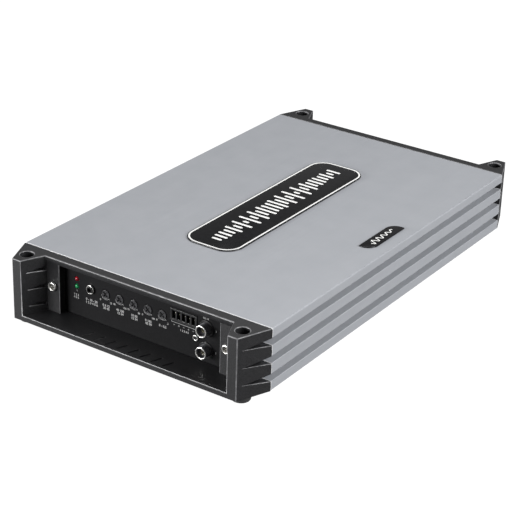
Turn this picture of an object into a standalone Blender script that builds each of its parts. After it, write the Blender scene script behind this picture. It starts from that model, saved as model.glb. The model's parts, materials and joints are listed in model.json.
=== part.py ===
"""A class-D car amplifier: a finned aluminium extrusion with a moulded cap on each end.

All sizes below are in millimetres and become metres when a mesh is made. The case lies along Y, with
the control panel at -Y and the power and speaker terminals at +Y. Z = 0 is the underside of the feet.
"depth" is a distance outwards from the end face of the extrusion, at either end.
"""

import math

import bmesh
import bpy
from mathutils import Vector

MM = 0.001
GAP = 0.3                      # between pieces that would touch
CUT_MARGIN = 1.0               # how far a cutter runs past the face that it opens

# The extruded case
CASE_WIDTH = 200.0
CASE_LENGTH = 304.0
CASE_HEIGHT = 44.0
TOP_WALL = 5.0
SIDE_WALL = 16.0
GROOVE_DEPTH = 8.0
GROOVE_HEIGHT = 5.1
GROOVE_FLOORS = (7.0, 19.7, 32.4)      # above the case's underside
EDGE_CHAMFER = 0.5
FIN_CHAMFER = 0.25
LEDGE_WIDTH = 6.0
LEDGE_THICKNESS = 4.0
BASE_THICKNESS = 1.5
BASE_CORNER = 3.0

# Feet, and the screw holes that run down through the ears and the feet
FOOT_HEIGHT = 4.0
FOOT_DIAMETER = 12.8
FOOT_SEAT_DIAMETER = 9.4
FOOT_SEAT_DEPTH = 1.5
EAR_HOLE_INSET = 13.2
EAR_BORE_DIAMETER = 9.5
EAR_HOLE_DIAMETER = 5.4
EAR_BORE_FLOOR = 8.0

# The moulded end caps
EAR_REACH = 24.0
EAR_TAPER = 9.6
EAR_NOSE = 7.3
EAR_ROOT = 23.7
BAR_REACH = 7.6
BAR_EDGE_HEIGHT = 2.8
RECESS_FLOOR = 3.8
RECESS_CEILING = 39.5
FLANGE_FACE = 6.5
FLANGE_WIDTH = 10.6
NOTCH_TIP = 20.4
NOTCH_TIP_RISES = (2.9, 2.3, 2.1)      # of each notch's tip above its groove's floor
MARK_COUNT = 8
MARK_PITCH = 9.3
MARK_LENGTH = 8.0
MARK_WIDTH = 1.5
MARK_LEAN = 3.2
MARK_SINK = 0.8
MARK_DEPTH = 17.0

# End-cap screws
CAP_SCREW_INSET = 29.3
CAP_SCREW_RISE = 22.8
CAP_SCREW_HEAD = 6.8
CAP_SCREW_HEAD_HEIGHT = 1.7
CAP_SCREW_SHANK = 3.5
CAP_SCREW_LENGTH = 16.0
PORT_WALL = 2.0
PORT_RIB = 3.0
PORT_DEPTH = 14.0

# The two panels behind the caps' windows
PANEL_THICKNESS = 1.2
PANEL_FACE = 0.6
PANEL_OVERLAP = 1.2
PANEL_RISE = 2.1

# Badges on the case's top
NAME_PLATE_SIZE = (43.0, 174.0)
NAME_PLATE_THICKNESS = 0.8
NAME_PLATE_CENTRE = (-1.0, 3.0)
NAME_PLATE_ROUND = 13.0
SERIES_PLATE_SIZE = (10.4, 44.0)
SERIES_PLATE_THICKNESS = 0.6
SERIES_PLATE_INSET = 14.7
SERIES_PLATE_SHIFT = 2.0
SERIES_PLATE_ROUND = 8.0

# Boards
BOARD_THICKNESS = 1.6
MAIN_BOARD_MARGIN = 3.0
CONTROL_TOP = 20.0                     # of the control board's upper face, above the case's underside
CONTROL_BOARD_DEPTH = 42.0
CONTROL_BOARD_SETBACK = 4.5
CONTROL_BOARD_INSET = 1.2

# Indicators, remote-control jack and trim pots, laid out from the window's left edge
LED_INSET = 10.1
LED_RISES = {"power_led": 25.2, "protect_led": 30.6}
LED_DIAMETER = 3.0
LED_FLANGE = 3.9
LED_PROUD = 1.0
JACK_SPACING = 12.0
CONTROL_RISE = 26.6
JACK_THREAD = 4.6
JACK_BORE = 3.3
JACK_PROUD = 2.0
JACK_NUT = 6.2
JACK_NUT_THICKNESS = 1.2
JACK_BODY = (9.0, 12.0)
POT_START = 12.4
POT_PITCH = 11.63
POT_NAMES = ("bass_boost", "low_pass", "subsonic", "phase", "level")
POT_SHAFT = 6.4
POT_SHAFT_PROUD = 0.5
POT_SHAFT_BACK = 2.4
POT_SPIGOT = 3.0
POT_SPIGOT_LENGTH = 3.0
POT_BODY_WIDTH = 9.4
POT_BODY_DEPTH = 6.0
POT_SLOT = 1.0
POT_SLOT_SINK = 0.9
HOLE_CLEARANCE = 0.4           # all round a piece that passes through a panel
TURN_CLEARANCE = 0.3           # all round a shaft that turns

# High-level input socket, left of the phono jacks
SOCKET_POLES = 5
SOCKET_PITCH = 3.81
SOCKET_HEIGHT = 8.2
SOCKET_RISE = 25.9
SOCKET_OFFSET = 17.7
SOCKET_PROUD = 0.5
SOCKET_DEPTH = 11.0
SOCKET_POCKET = (2.7, 5.6, 7.0)
SOCKET_END_WALL = 0.9

# Phono (RCA) input jacks, laid out from the window's right edge
RCA_INSET = 14.7
RCA_PITCH = 15.4
RCA_SHELL = 8.4
RCA_SHELL_WALL = 1.1
RCA_PROUD = 6.2
RCA_BEZEL = 11.2
RCA_BEZEL_PROUD = 0.4
RCA_INSERT_SINK = 2.4
RCA_CONTACT_BORE = 3.3
RCA_CONTACT_DEPTH = 6.0
RCA_HOUSING_WIDTH = 13.6
RCA_HOUSING_DEPTH = 13.0
RCA_HOUSING_MARGIN = 7.2
RCA_FLOOR_WALL = 0.5            # of the housing, under the lower shell
PHONO_EAR_THICKNESS = 3.0
PHONO_EAR_WALL = 1.2
RIVET_OFFSET = 8.0
RIVET_RISE = 18.9
RIVET_HEAD = 4.2
RIVET_BORE = 1.8
RIVET_SHANK = 2.8
RIVET_PROUD = 0.8

# Terminal blocks on the rear panel
BLOCK_REACH = 19.0
BLOCK_INNER_DEPTH = 10.0
BLOCK_HEIGHT = 22.0
BLOCK_WALL = 3.0
POWER_BLOCK_CENTRE = -37.5
POWER_POLES = {"battery": 9.0, "ground": 9.0, "remote": 5.0}
SPEAKER_BLOCK_CENTRE = 41.0
SPEAKER_POLES = {"speaker_plus": 7.0, "speaker_minus": 7.0}
WIRE_RISE = 7.0                # of a wire hole's centre above its block's underside
WIRE_HOLE_DEPTH = 15.0
CLAMP_DEPTH = 13.5             # of a clamp screw's axis, outwards from the case's end
CLAMP_SCREW = 6.0
SMALL_CLAMP_SCREW = 4.0
CLAMP_SCREW_LENGTH = 8.0
CLAMP_SCREW_SINK = 0.6
CLAMP_PAD_THICKNESS = 1.0
CLAMP_HEX = 3.0
SMALL_CLAMP_HEX = 2.0
CLAMP_HEX_SINK = 3.0

# Fuse holder and its two blade fuses
FUSE_CENTRE = 5.5
FUSE_COUNT = 2
FUSE_PITCH = 10.0
FUSE_WIDTH = 19.0
FUSE_THICKNESS = 5.0
FUSE_BODY = 12.0
FUSE_SEAT = 3.0
FUSE_BLADE = (5.2, 0.7, 8.0)
FUSE_BLADE_SPACING = 13.6
FUSE_HOLDER_PROUD = 4.0
FUSE_HOLDER_BACK = 9.0
FUSE_HOLDER_WALL = 2.0
FUSE_RISE = 21.0

# Parts on the main board
TOROID_OUTER = 44.0
TOROID_INNER = 18.0
TOROID_HEIGHT = 22.0
TOROID_PLACE = (-30.0, 10.0)
INDUCTOR_OUTER = 32.0
INDUCTOR_INNER = 13.0
INDUCTOR_HEIGHT = 15.0
INDUCTOR_PLACE = (38.0, 25.0)
CAPACITOR_DIAMETER = 18.0
CAPACITOR_HEIGHT = 26.0
CAPACITOR_PITCH = 22.0
CAPACITOR_COUNT = 3
CAPACITOR_PLACE = (-40.0, -60.0)
BAR_WIDTH = 12.0
BAR_WALL = 2.5
BAR_LENGTH = 190.0
BAR_HEIGHT = 9.0

# Places worked out from the sizes above
HALF_WIDTH = CASE_WIDTH / 2
HALF_LENGTH = CASE_LENGTH / 2
INNER_HALF_WIDTH = HALF_WIDTH - SIDE_WALL
CEILING = CASE_HEIGHT - TOP_WALL
WINDOW_HALF = HALF_WIDTH - EAR_ROOT - FLANGE_WIDTH - 0.5
CAP_SCREW_X = HALF_WIDTH - CAP_SCREW_INSET
PANEL_HALF = WINDOW_HALF + PANEL_OVERLAP
RCA_X = WINDOW_HALF - RCA_INSET
LED_X = -WINDOW_HALF + LED_INSET
JACK_X = LED_X + JACK_SPACING
POT_X = [JACK_X + POT_START + index * POT_PITCH for index in range(len(POT_NAMES))]
SOCKET_X = RCA_X - SOCKET_OFFSET
PORT_RADIUS = CAP_SCREW_SHANK / 2 + TURN_CLEARANCE + PORT_WALL
LEDGE_UNDERSIDE = BASE_THICKNESS + GAP
LEDGE_TOP = LEDGE_UNDERSIDE + LEDGE_THICKNESS
MAIN_BOARD_TOP = LEDGE_TOP + GAP + BOARD_THICKNESS
BLOCK_RISE = MAIN_BOARD_TOP + GAP
LOWER_RCA_RISE = MAIN_BOARD_TOP + GAP + RCA_FLOOR_WALL + RCA_SHELL / 2
RCA_RISES = {"left": LOWER_RCA_RISE + RCA_PITCH, "right": LOWER_RCA_RISE}
FRONT = -1
REAR = 1


# ---------------------------------------------------------------- materials

FINISHES = {
    # name: (linear colour, roughness, metallic)
    "anodised_aluminium": ((0.40, 0.42, 0.44), 0.38, 0.9),
    "black_nylon": ((0.035, 0.035, 0.037), 0.62, 0.0),
    "panel_paint": ((0.013, 0.013, 0.014), 0.5, 0.0),
    "badge_lacquer": ((0.025, 0.025, 0.03), 0.3, 0.0),
    "zinc_steel": ((0.45, 0.45, 0.46), 0.4, 0.9),
    "nickel": ((0.75, 0.74, 0.7), 0.22, 1.0),
    "dark_nickel": ((0.12, 0.12, 0.12), 0.25, 1.0),
    "rubber": ((0.03, 0.03, 0.03), 0.75, 0.0),
    "red_lens": ((0.45, 0.01, 0.02), 0.2, 0.0),
    "green_lens": ((0.02, 0.22, 0.08), 0.2, 0.0),
    "black_polymer": ((0.01, 0.01, 0.01), 0.45, 0.0),
    "orange_fuse": ((0.75, 0.24, 0.03), 0.3, 0.0),
    "board_laminate": ((0.01, 0.09, 0.03), 0.5, 0.0),
    "enamelled_copper": ((0.5, 0.16, 0.04), 0.35, 0.7),
    "capacitor_sleeve": ((0.02, 0.03, 0.07), 0.4, 0.0),
}


def finish(name):
    """The named finish as a Principled material, made once."""
    found = bpy.data.materials.get(name)
    if found:
        return found
    colour, roughness, metallic = FINISHES[name]
    made = bpy.data.materials.new(name)
    made.use_nodes = True
    shader = made.node_tree.nodes["Principled BSDF"]
    shader.inputs["Base Color"].default_value = (*colour, 1.0)
    shader.inputs["Roughness"].default_value = roughness
    shader.inputs["Metallic"].default_value = metallic
    return made


# ---------------------------------------------------------------- outlines, as lists of (u, v)

def rectangle(low_u, high_u, low_v, high_v):
    return [(low_u, low_v), (high_u, low_v), (high_u, high_v), (low_u, high_v)]


def circle(centre_u, centre_v, diameter, sides=32):
    angles = [2 * math.pi * side / sides for side in range(sides)]
    radius = diameter / 2
    return [(centre_u + radius * math.cos(a), centre_v + radius * math.sin(a)) for a in angles]


def rounded(outline, radii, steps=4):
    """The outline with each corner replaced by an arc that touches both of its sides."""
    result = []
    for index, (corner, radius) in enumerate(zip(outline, radii)):
        if radius == 0:
            result.append(corner)
            continue
        here = Vector(corner)
        back = (Vector(outline[index - 1]) - here).normalized()
        ahead = (Vector(outline[(index + 1) % len(outline)]) - here).normalized()
        half_angle = back.angle(ahead) / 2
        centre = here + (back + ahead).normalized() * radius / math.sin(half_angle)
        start = here + back * radius / math.tan(half_angle) - centre
        turn = start.angle_signed(here + ahead * radius / math.tan(half_angle) - centre)
        for step in range(steps + 1):
            angle = -turn * step / steps
            cos, sin = math.cos(angle), math.sin(angle)
            result.append((centre.x + start.x * cos - start.y * sin,
                           centre.y + start.x * sin + start.y * cos))
    return result


def mirrored(half):
    """A closed outline from its right half, given in order from the centre line round to the centre line."""
    return half + [(-u, v) for u, v in reversed(half)]


# ---------------------------------------------------------------- bodies

def placed(axis, u, v, w):
    """The point at (u, v) across an axis and w along it: X takes (y, z), Y takes (x, z), Z takes (x, y)."""
    return {"X": (w, u, v), "Y": (u, w, v), "Z": (u, v, w)}[axis]


def add_prism(body, outline, axis, low, high):
    """Adds the closed body that an outline sweeps from low to high along an axis."""
    rings = [[body.verts.new(placed(axis, u, v, w)) for u, v in outline] for w in (low, high)]
    body.faces.new(rings[0])
    body.faces.new(reversed(rings[1]))
    count = len(outline)
    for index in range(count):
        after = (index + 1) % count
        body.faces.new((rings[0][after], rings[0][index], rings[1][index], rings[1][after]))


def add_turned(body, profile, axis, centre, sides=32):
    """Adds the body that a profile of (radius, distance along the axis) turns into.

    A profile that starts and ends at radius 0 closes on the axis; any other closes into a ring.
    """
    solid_core = profile[0][0] == 0
    rings = []
    for radius, along in profile:
        if radius == 0:
            ring = [body.verts.new(placed(axis, *centre, along))] * sides
        else:
            points = circle(*centre, 2 * radius, sides)
            ring = [body.verts.new(placed(axis, u, v, along)) for u, v in points]
        rings.append(ring)
    spans = list(zip(rings, rings[1:])) if solid_core else list(zip(rings, rings[1:] + rings[:1]))
    for near, far in spans:
        for side in range(sides):
            after = (side + 1) % sides
            corners = [near[side], near[after], far[after], far[side]]
            body.faces.new(sorted(set(corners), key=corners.index))


def as_object(name, body, material=None, origin=(0.0, 0.0, 0.0), smooth=False):
    """Makes an object of a body drawn in millimetres, with its origin at the given point."""
    bmesh.ops.recalc_face_normals(body, faces=body.faces)
    bmesh.ops.translate(body, verts=body.verts, vec=-Vector(origin))
    bmesh.ops.scale(body, verts=body.verts, vec=(MM, MM, MM))
    mesh = bpy.data.meshes.new(name)
    body.to_mesh(mesh)
    body.free()
    made = bpy.data.objects.new(name, mesh)
    made.location = Vector(origin) * MM
    bpy.context.scene.collection.objects.link(made)
    if material:
        mesh.materials.append(finish(material))
    if smooth:
        mesh.shade_smooth()
        mesh.set_sharp_from_angle(angle=math.radians(35))
    return made


def prism(name, outline, axis, low, high, material=None, origin=(0.0, 0.0, 0.0)):
    body = bmesh.new()
    add_prism(body, outline, axis, low, high)
    return as_object(name, body, material, origin)


def turned(name, profile, axis, centre, material=None, origin=(0.0, 0.0, 0.0), sides=32):
    body = bmesh.new()
    add_turned(body, profile, axis, centre, sides)
    return as_object(name, body, material, origin, smooth=True)


def rod(radius, low, high):
    """The profile of a plain cylinder."""
    return [(0, low), (radius, low), (radius, high), (0, high)]


def tube(inner, outer, low, high):
    """The profile of a plain ring."""
    return [(inner, low), (outer, low), (outer, high), (inner, high)]


def combine(target, tool, operation):
    """Adds an exact Boolean to the target, and turns the tool into a wire helper that isn't rendered."""
    tool.hide_render = True
    tool.display_type = "WIRE"
    change = target.modifiers.new(f"{operation.lower()} {tool.name}", "BOOLEAN")
    change.operation = operation
    change.solver = "EXACT"
    change.object = tool


def cut(target, shapes):
    """Cuts a group of bodies that don't overlap one another out of the target.

    Each shape is ("prism", outline, axis, low, high) or ("turned", profile, axis, centre).
    """
    body = bmesh.new()
    for kind, *details in shapes:
        {"prism": add_prism, "turned": add_turned}[kind](body, *details)
    count = sum(1 for change in target.modifiers if change.type == "BOOLEAN")
    combine(target, as_object(f"{target.name}_cutter_{count + 1}", body), "DIFFERENCE")


def end_y(end, depth):
    """The Y of a point that lies this far outside the case's end face."""
    return end * (HALF_LENGTH + depth)


def level(rise):
    """The Z of a point this far above the case's underside."""
    return FOOT_HEIGHT + rise


def across_end(end, low_depth, high_depth):
    """The Y range between two depths at an end, low value first."""
    return sorted((end_y(end, low_depth), end_y(end, high_depth)))


def turned_at_end(name, profile, end, centre, material, origin_depth=None, sides=32):
    """A turned piece on an axis square to an end's panel, its profile given as (radius, depth)."""
    at_end = [(radius, end_y(end, depth)) for radius, depth in profile]
    at_level = (centre[0], level(centre[1]))
    origin = (0.0, 0.0, 0.0)
    if origin_depth is not None:
        origin = (at_level[0], end_y(end, origin_depth), at_level[1])
    return turned(name, at_end, "Y", at_level, material, origin, sides)


def box_at_end(end, x_range, depth_range, rise_range):
    """Details of a plain box at an end, for add_prism."""
    outline = rectangle(*x_range, level(rise_range[0]), level(rise_range[1]))
    return (outline, "Y", *across_end(end, *depth_range))


# ---------------------------------------------------------------- the case

def screw_port():
    """The rib on the side wall that ends in a round boss for a cap screw."""
    half_rib = math.asin(PORT_RIB / 2 / PORT_RADIUS)
    steps = 16
    points = [(INNER_HALF_WIDTH, CAP_SCREW_RISE - PORT_RIB / 2)]
    for step in range(steps + 1):
        angle = -half_rib - (2 * math.pi - 2 * half_rib) * step / steps
        across = CAP_SCREW_X + PORT_RADIUS * math.cos(angle)
        points.append((across, CAP_SCREW_RISE + PORT_RADIUS * math.sin(angle)))
    points.append((INNER_HALF_WIDTH, CAP_SCREW_RISE + PORT_RIB / 2))
    return points


def case_outline():
    """The extrusion's section: down the finned right side, back up inside, then the mirror of that."""
    edge = EDGE_CHAMFER
    fin_edge = FIN_CHAMFER
    groove_back = HALF_WIDTH - GROOVE_DEPTH
    half = [(HALF_WIDTH - edge, CASE_HEIGHT), (HALF_WIDTH, CASE_HEIGHT - edge)]
    for floor in reversed(GROOVE_FLOORS):
        roof = floor + GROOVE_HEIGHT
        half += [(HALF_WIDTH, roof + fin_edge), (HALF_WIDTH - fin_edge, roof), (groove_back, roof)]
        half += [(groove_back, floor), (HALF_WIDTH - fin_edge, floor), (HALF_WIDTH, floor - fin_edge)]
    half += [(HALF_WIDTH, edge), (HALF_WIDTH - edge, 0), (INNER_HALF_WIDTH, 0)]
    ledge = INNER_HALF_WIDTH - LEDGE_WIDTH
    half += [(INNER_HALF_WIDTH, LEDGE_UNDERSIDE), (ledge, LEDGE_UNDERSIDE), (ledge, LEDGE_TOP)]
    half += [(INNER_HALF_WIDTH, LEDGE_TOP)]
    half += screw_port()
    half += [(INNER_HALF_WIDTH, CEILING)]
    return [(across, level(rise)) for across, rise in mirrored(half)]


def make_case():
    shell = prism("heatsink_shell", case_outline(), "Y", -HALF_LENGTH, HALF_LENGTH, "anodised_aluminium")
    bore = CAP_SCREW_SHANK / 2 + TURN_CLEARANCE
    holes = []
    for end in (FRONT, REAR):
        span = across_end(end, -PORT_DEPTH, CUT_MARGIN)
        for side in (-1, 1):
            holes.append(("turned", rod(bore, *span), "Y", (side * CAP_SCREW_X, level(CAP_SCREW_RISE)), 16))
    cut(shell, holes)

    half_width = INNER_HALF_WIDTH - GAP
    half_length = HALF_LENGTH - GAP
    outline = rectangle(-half_width, half_width, -half_length, half_length)
    outline = rounded(outline, [BASE_CORNER] * 4)
    prism("bottom_plate", outline, "Z", level(0), level(BASE_THICKNESS), "zinc_steel")


def make_badges():
    top = level(CASE_HEIGHT) + GAP / 2
    x, y = NAME_PLATE_CENTRE
    width, length = NAME_PLATE_SIZE
    outline = rectangle(x - width / 2, x + width / 2, y - length / 2, y + length / 2)
    outline = rounded(outline, [NAME_PLATE_ROUND] * 4, 8)
    prism("name_plate", outline, "Z", top, top + NAME_PLATE_THICKNESS, "badge_lacquer")

    x, y = HALF_WIDTH - SERIES_PLATE_INSET, SERIES_PLATE_SHIFT
    width, length = SERIES_PLATE_SIZE
    outline = rectangle(x - width / 2, x + width / 2, y - length / 2, y + length / 2)
    outline = rounded(outline, [0, SERIES_PLATE_ROUND, 0, SERIES_PLATE_ROUND], 8)
    prism("series_plate", outline, "Z", top, top + SERIES_PLATE_THICKNESS, "badge_lacquer")


# ---------------------------------------------------------------- end caps, their screws and the feet

def ear_holes(end):
    """(side, x, y) of the mounting hole in each ear at an end."""
    y = end_y(end, EAR_HOLE_INSET)
    return [(side, side * (HALF_WIDTH - EAR_HOLE_INSET), y) for side in (-1, 1)]


def notch(end, tip, floor):
    """The (y, z) outline of a notch in an ear, from its groove out to its tip, narrowing all the way."""
    points = [(0, floor), (NOTCH_TIP, tip), (0, floor + GROOVE_HEIGHT)]
    return [(end_y(end, depth), level(rise)) for depth, rise in points]


def notch_cutter(cap, end, inner_x):
    """The notches of both ears: as deep as the case's grooves behind the flange, to inner_x in front of it."""
    notches, spared = bmesh.new(), bmesh.new()
    groove_x = HALF_WIDTH - GROOVE_DEPTH
    for side in (-1, 1):
        for floor, tip_rise in zip(GROOVE_FLOORS, NOTCH_TIP_RISES):
            span = sorted((side * inner_x, side * (HALF_WIDTH + CUT_MARGIN)))
            add_prism(notches, notch(end, floor + tip_rise, floor), "X", *span)
        span = sorted((side * (inner_x - CUT_MARGIN), side * groove_x))
        flange = box_at_end(end, span, (-CUT_MARGIN, FLANGE_FACE + GAP),
                            (-CUT_MARGIN, CASE_HEIGHT + CUT_MARGIN))
        add_prism(spared, *flange)
    cutter = as_object(f"{cap.name}_notches", notches)
    combine(cutter, as_object(f"{cap.name}_behind_flange", spared), "DIFFERENCE")
    return cutter


def make_end_cap(name, end):
    tip_x = HALF_WIDTH - EAR_TAPER
    nose_x = tip_x - EAR_NOSE
    root_x = HALF_WIDTH - EAR_ROOT
    slope = (nose_x - root_x) / (EAR_REACH - BAR_REACH)
    flange_x = root_x - slope * (BAR_REACH - FLANGE_FACE)
    beyond = EAR_REACH + CUT_MARGIN
    beyond_x = nose_x + slope * CUT_MARGIN

    def plan(points):
        return [(x, end_y(end, depth)) for x, depth in mirrored(points)]

    block = plan([(HALF_WIDTH, GAP), (tip_x, EAR_REACH)])
    cap = prism(name, block, "Z", level(0), level(CASE_HEIGHT), "black_nylon")

    above_bar = plan([(root_x, BAR_REACH), (beyond_x, beyond)])
    halfway = (RECESS_FLOOR + RECESS_CEILING) / 2
    cut(cap, [("prism", above_bar, "Z", level(halfway), level(CASE_HEIGHT + CUT_MARGIN))])
    recess = plan([(WINDOW_HALF, -CUT_MARGIN), (WINDOW_HALF, FLANGE_FACE), (flange_x, FLANGE_FACE),
                   (root_x, BAR_REACH), (beyond_x, beyond)])
    cut(cap, [("prism", recess, "Z", level(RECESS_FLOOR), level(RECESS_CEILING))])

    chamfer = [(FLANGE_FACE, RECESS_CEILING - CUT_MARGIN), (FLANGE_FACE, RECESS_CEILING),
               (BAR_REACH, CASE_HEIGHT - BAR_EDGE_HEIGHT),
               (BAR_REACH + CUT_MARGIN, CASE_HEIGHT - BAR_EDGE_HEIGHT),
               (BAR_REACH + CUT_MARGIN, RECESS_CEILING - CUT_MARGIN)]
    chamfer = [(end_y(end, depth), level(rise)) for depth, rise in chamfer]
    rebate = box_at_end(end, (-PANEL_HALF - GAP, PANEL_HALF + GAP), (-CUT_MARGIN, PANEL_FACE + GAP),
                        (PANEL_RISE - GAP, CEILING))
    cut(cap, [("prism", chamfer, "X", -flange_x, flange_x)])
    cut(cap, [("prism", *rebate)])

    combine(cap, notch_cutter(cap, end, root_x - EAR_NOSE), "DIFFERENCE")

    holes = []
    for side, x, y in ear_holes(end):
        profile = [(0, level(-CUT_MARGIN)), (FOOT_SEAT_DIAMETER / 2, level(-CUT_MARGIN)),
                   (FOOT_SEAT_DIAMETER / 2, level(FOOT_SEAT_DEPTH)),
                   (EAR_HOLE_DIAMETER / 2, level(FOOT_SEAT_DEPTH)),
                   (EAR_HOLE_DIAMETER / 2, level(EAR_BORE_FLOOR)),
                   (EAR_BORE_DIAMETER / 2, level(EAR_BORE_FLOOR)),
                   (EAR_BORE_DIAMETER / 2, level(CASE_HEIGHT + CUT_MARGIN)),
                   (0, level(CASE_HEIGHT + CUT_MARGIN))]
        holes.append(("turned", profile, "Z", (x, y), 24))
        shank = CAP_SCREW_SHANK / 2 + GAP
        span = across_end(end, -CUT_MARGIN, FLANGE_FACE + CUT_MARGIN)
        holes.append(("turned", rod(shank, *span), "Y", (side * CAP_SCREW_X, level(CAP_SCREW_RISE)), 16))
    cut(cap, holes)

    marks = []
    for index in range(MARK_COUNT):
        x = (index - (MARK_COUNT - 1) / 2) * MARK_PITCH
        near, far = end_y(end, MARK_DEPTH + MARK_LENGTH / 2), end_y(end, MARK_DEPTH - MARK_LENGTH / 2)
        bar = [(x - MARK_LEAN / 2, near), (x - MARK_LEAN / 2 + MARK_WIDTH, near),
               (x + MARK_LEAN / 2 + MARK_WIDTH, far), (x + MARK_LEAN / 2, far)]
        marks.append(("prism", bar, "Z", level(RECESS_FLOOR - MARK_SINK), level(RECESS_FLOOR + CUT_MARGIN)))
    cut(cap, marks)


def make_cap_screw(name, end, side):
    """A pan-head screw with a cross recess; its head bears on the cap's flange."""
    seat = FLANGE_FACE + GAP
    crown = seat + CAP_SCREW_HEAD_HEIGHT
    radius = CAP_SCREW_HEAD / 2
    profile = [(0, seat - CAP_SCREW_LENGTH), (CAP_SCREW_SHANK / 2 - 0.6, seat - CAP_SCREW_LENGTH),
               (CAP_SCREW_SHANK / 2, seat - CAP_SCREW_LENGTH + 1), (CAP_SCREW_SHANK / 2, seat),
               (radius, seat), (radius, seat + 0.8)]
    steps = 3
    for step in range(1, steps):
        angle = math.pi / 2 * step / steps
        rise = (CAP_SCREW_HEAD_HEIGHT - 0.8) * math.sin(angle)
        profile.append((radius * math.cos(angle), seat + 0.8 + rise))
    profile.append((0, crown))
    centre = (side * CAP_SCREW_X, CAP_SCREW_RISE)
    screw = turned_at_end(name, profile, end, centre, "nickel", origin_depth=seat, sides=20)
    cut_cross(screw, end, centre, crown, 4.2, 0.9, 1.3)


def cut_cross(target, end, centre, face_depth, length, width, sink):
    """Cuts a cross-shaped driver recess into a face at an end."""
    x, rise = centre
    arm, half = length / 2, width / 2
    outline = [(arm, -half), (arm, half), (half, half), (half, arm), (-half, arm), (-half, half),
               (-arm, half), (-arm, -half), (-half, -half), (-half, -arm), (half, -arm), (half, -half)]
    outline = [(x + u, level(rise) + v) for u, v in outline]
    cut(target, [("prism", outline, "Y", *across_end(end, face_depth - sink, face_depth + CUT_MARGIN))])


def make_ends():
    for end, place in ((FRONT, "front"), (REAR, "rear")):
        make_end_cap(f"{place}_end_cap", end)
        for side, x, y in ear_holes(end):
            corner = f"{place}_{'left' if side < 0 else 'right'}"
            make_cap_screw(f"end_cap_screw_{corner}", end, side)
            bore = EAR_HOLE_DIAMETER / 2
            rim = FOOT_DIAMETER / 2
            spigot = FOOT_SEAT_DIAMETER / 2 - GAP
            profile = [(bore, 0), (rim - 0.6, 0), (rim, 0.6), (rim, level(-GAP)), (spigot, level(-GAP)),
                       (spigot, level(FOOT_SEAT_DEPTH - GAP)), (bore, level(FOOT_SEAT_DEPTH - GAP))]
            turned(f"foot_{corner}", profile, "Z", (x, y), "rubber", sides=24)


# ---------------------------------------------------------------- control panel

def panel_plate(name, end, openings):
    """A panel plate; openings are the add_prism or add_turned details that cut() takes."""
    plate = box_at_end(end, (-PANEL_HALF, PANEL_HALF), (PANEL_FACE - PANEL_THICKNESS, PANEL_FACE),
                       (PANEL_RISE, CEILING - GAP))
    plate = prism(name, *plate, "panel_paint")
    cut(plate, openings)


def round_opening(end, x, rise, diameter, sides=24):
    span = across_end(end, PANEL_FACE - PANEL_THICKNESS - CUT_MARGIN, PANEL_FACE + CUT_MARGIN)
    radius = diameter / 2 + HOLE_CLEARANCE
    return ("turned", rod(radius, *span), "Y", (x, level(rise)), sides)


def square_opening(end, low_x, high_x, low_rise, high_rise):
    depths = (PANEL_FACE - PANEL_THICKNESS - CUT_MARGIN, PANEL_FACE + CUT_MARGIN)
    clear = HOLE_CLEARANCE
    details = box_at_end(end, (low_x - clear, high_x + clear), depths, (low_rise - clear, high_rise + clear))
    return ("prism", *details)


SOCKET_WIDTH = SOCKET_POLES * SOCKET_PITCH + 2 * SOCKET_END_WALL


def make_front_panel():
    openings = [round_opening(FRONT, LED_X, rise, LED_DIAMETER, 16) for rise in LED_RISES.values()]
    openings.append(round_opening(FRONT, JACK_X, CONTROL_RISE, JACK_THREAD))
    openings += [round_opening(FRONT, x, CONTROL_RISE, POT_SHAFT) for x in POT_X]
    openings += [round_opening(FRONT, RCA_X, rise, RCA_BEZEL) for rise in RCA_RISES.values()]
    openings.append(round_opening(FRONT, RCA_X - RIVET_OFFSET, RIVET_RISE, RIVET_SHANK, 16))
    openings.append(square_opening(FRONT, SOCKET_X - SOCKET_WIDTH / 2, SOCKET_X + SOCKET_WIDTH / 2,
                                   SOCKET_RISE, SOCKET_RISE + SOCKET_HEIGHT))
    panel_plate("front_panel", FRONT, openings)


def make_indicators():
    back = PANEL_FACE - PANEL_THICKNESS - GAP
    radius = LED_DIAMETER / 2
    for name, rise in LED_RISES.items():
        crown = PANEL_FACE + LED_PROUD
        profile = [(0, back - 4), (radius, back - 4), (radius, back - 1), (LED_FLANGE / 2, back - 1),
                   (LED_FLANGE / 2, back), (radius, back)]
        steps = 3
        for step in range(steps):
            angle = math.pi / 2 * step / steps
            profile.append((radius * math.cos(angle), crown - radius + radius * math.sin(angle)))
        profile.append((0, crown))
        colour = "red_lens" if name == "protect_led" else "green_lens"
        turned_at_end(name, profile, FRONT, (LED_X, rise), colour, sides=16)


def make_remote_jack():
    width, depth = JACK_BODY
    front = PANEL_FACE - PANEL_THICKNESS - GAP
    half = width / 2
    top = CONTROL_RISE + half
    details = box_at_end(FRONT, (JACK_X - half, JACK_X + half), (front - depth, front),
                         (CONTROL_TOP + GAP, top))
    body = prism("remote_jack", *details, "black_polymer")
    centre = (JACK_X, CONTROL_RISE)
    end = PANEL_FACE + JACK_PROUD
    thread = turned_at_end("remote_jack_thread", rod(JACK_THREAD / 2, front - 1, end), FRONT, centre, None)
    combine(body, thread, "UNION")
    span = across_end(FRONT, front - depth + 2, end + CUT_MARGIN)
    cut(body, [("turned", rod(JACK_BORE / 2, *span), "Y", (JACK_X, level(CONTROL_RISE)), 20)])

    nut_back = PANEL_FACE + GAP
    profile = tube(JACK_THREAD / 2 + GAP, JACK_NUT / 2, nut_back, nut_back + JACK_NUT_THICKNESS)
    turned_at_end("remote_jack_nut", profile, FRONT, centre, "nickel", sides=24)


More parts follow.
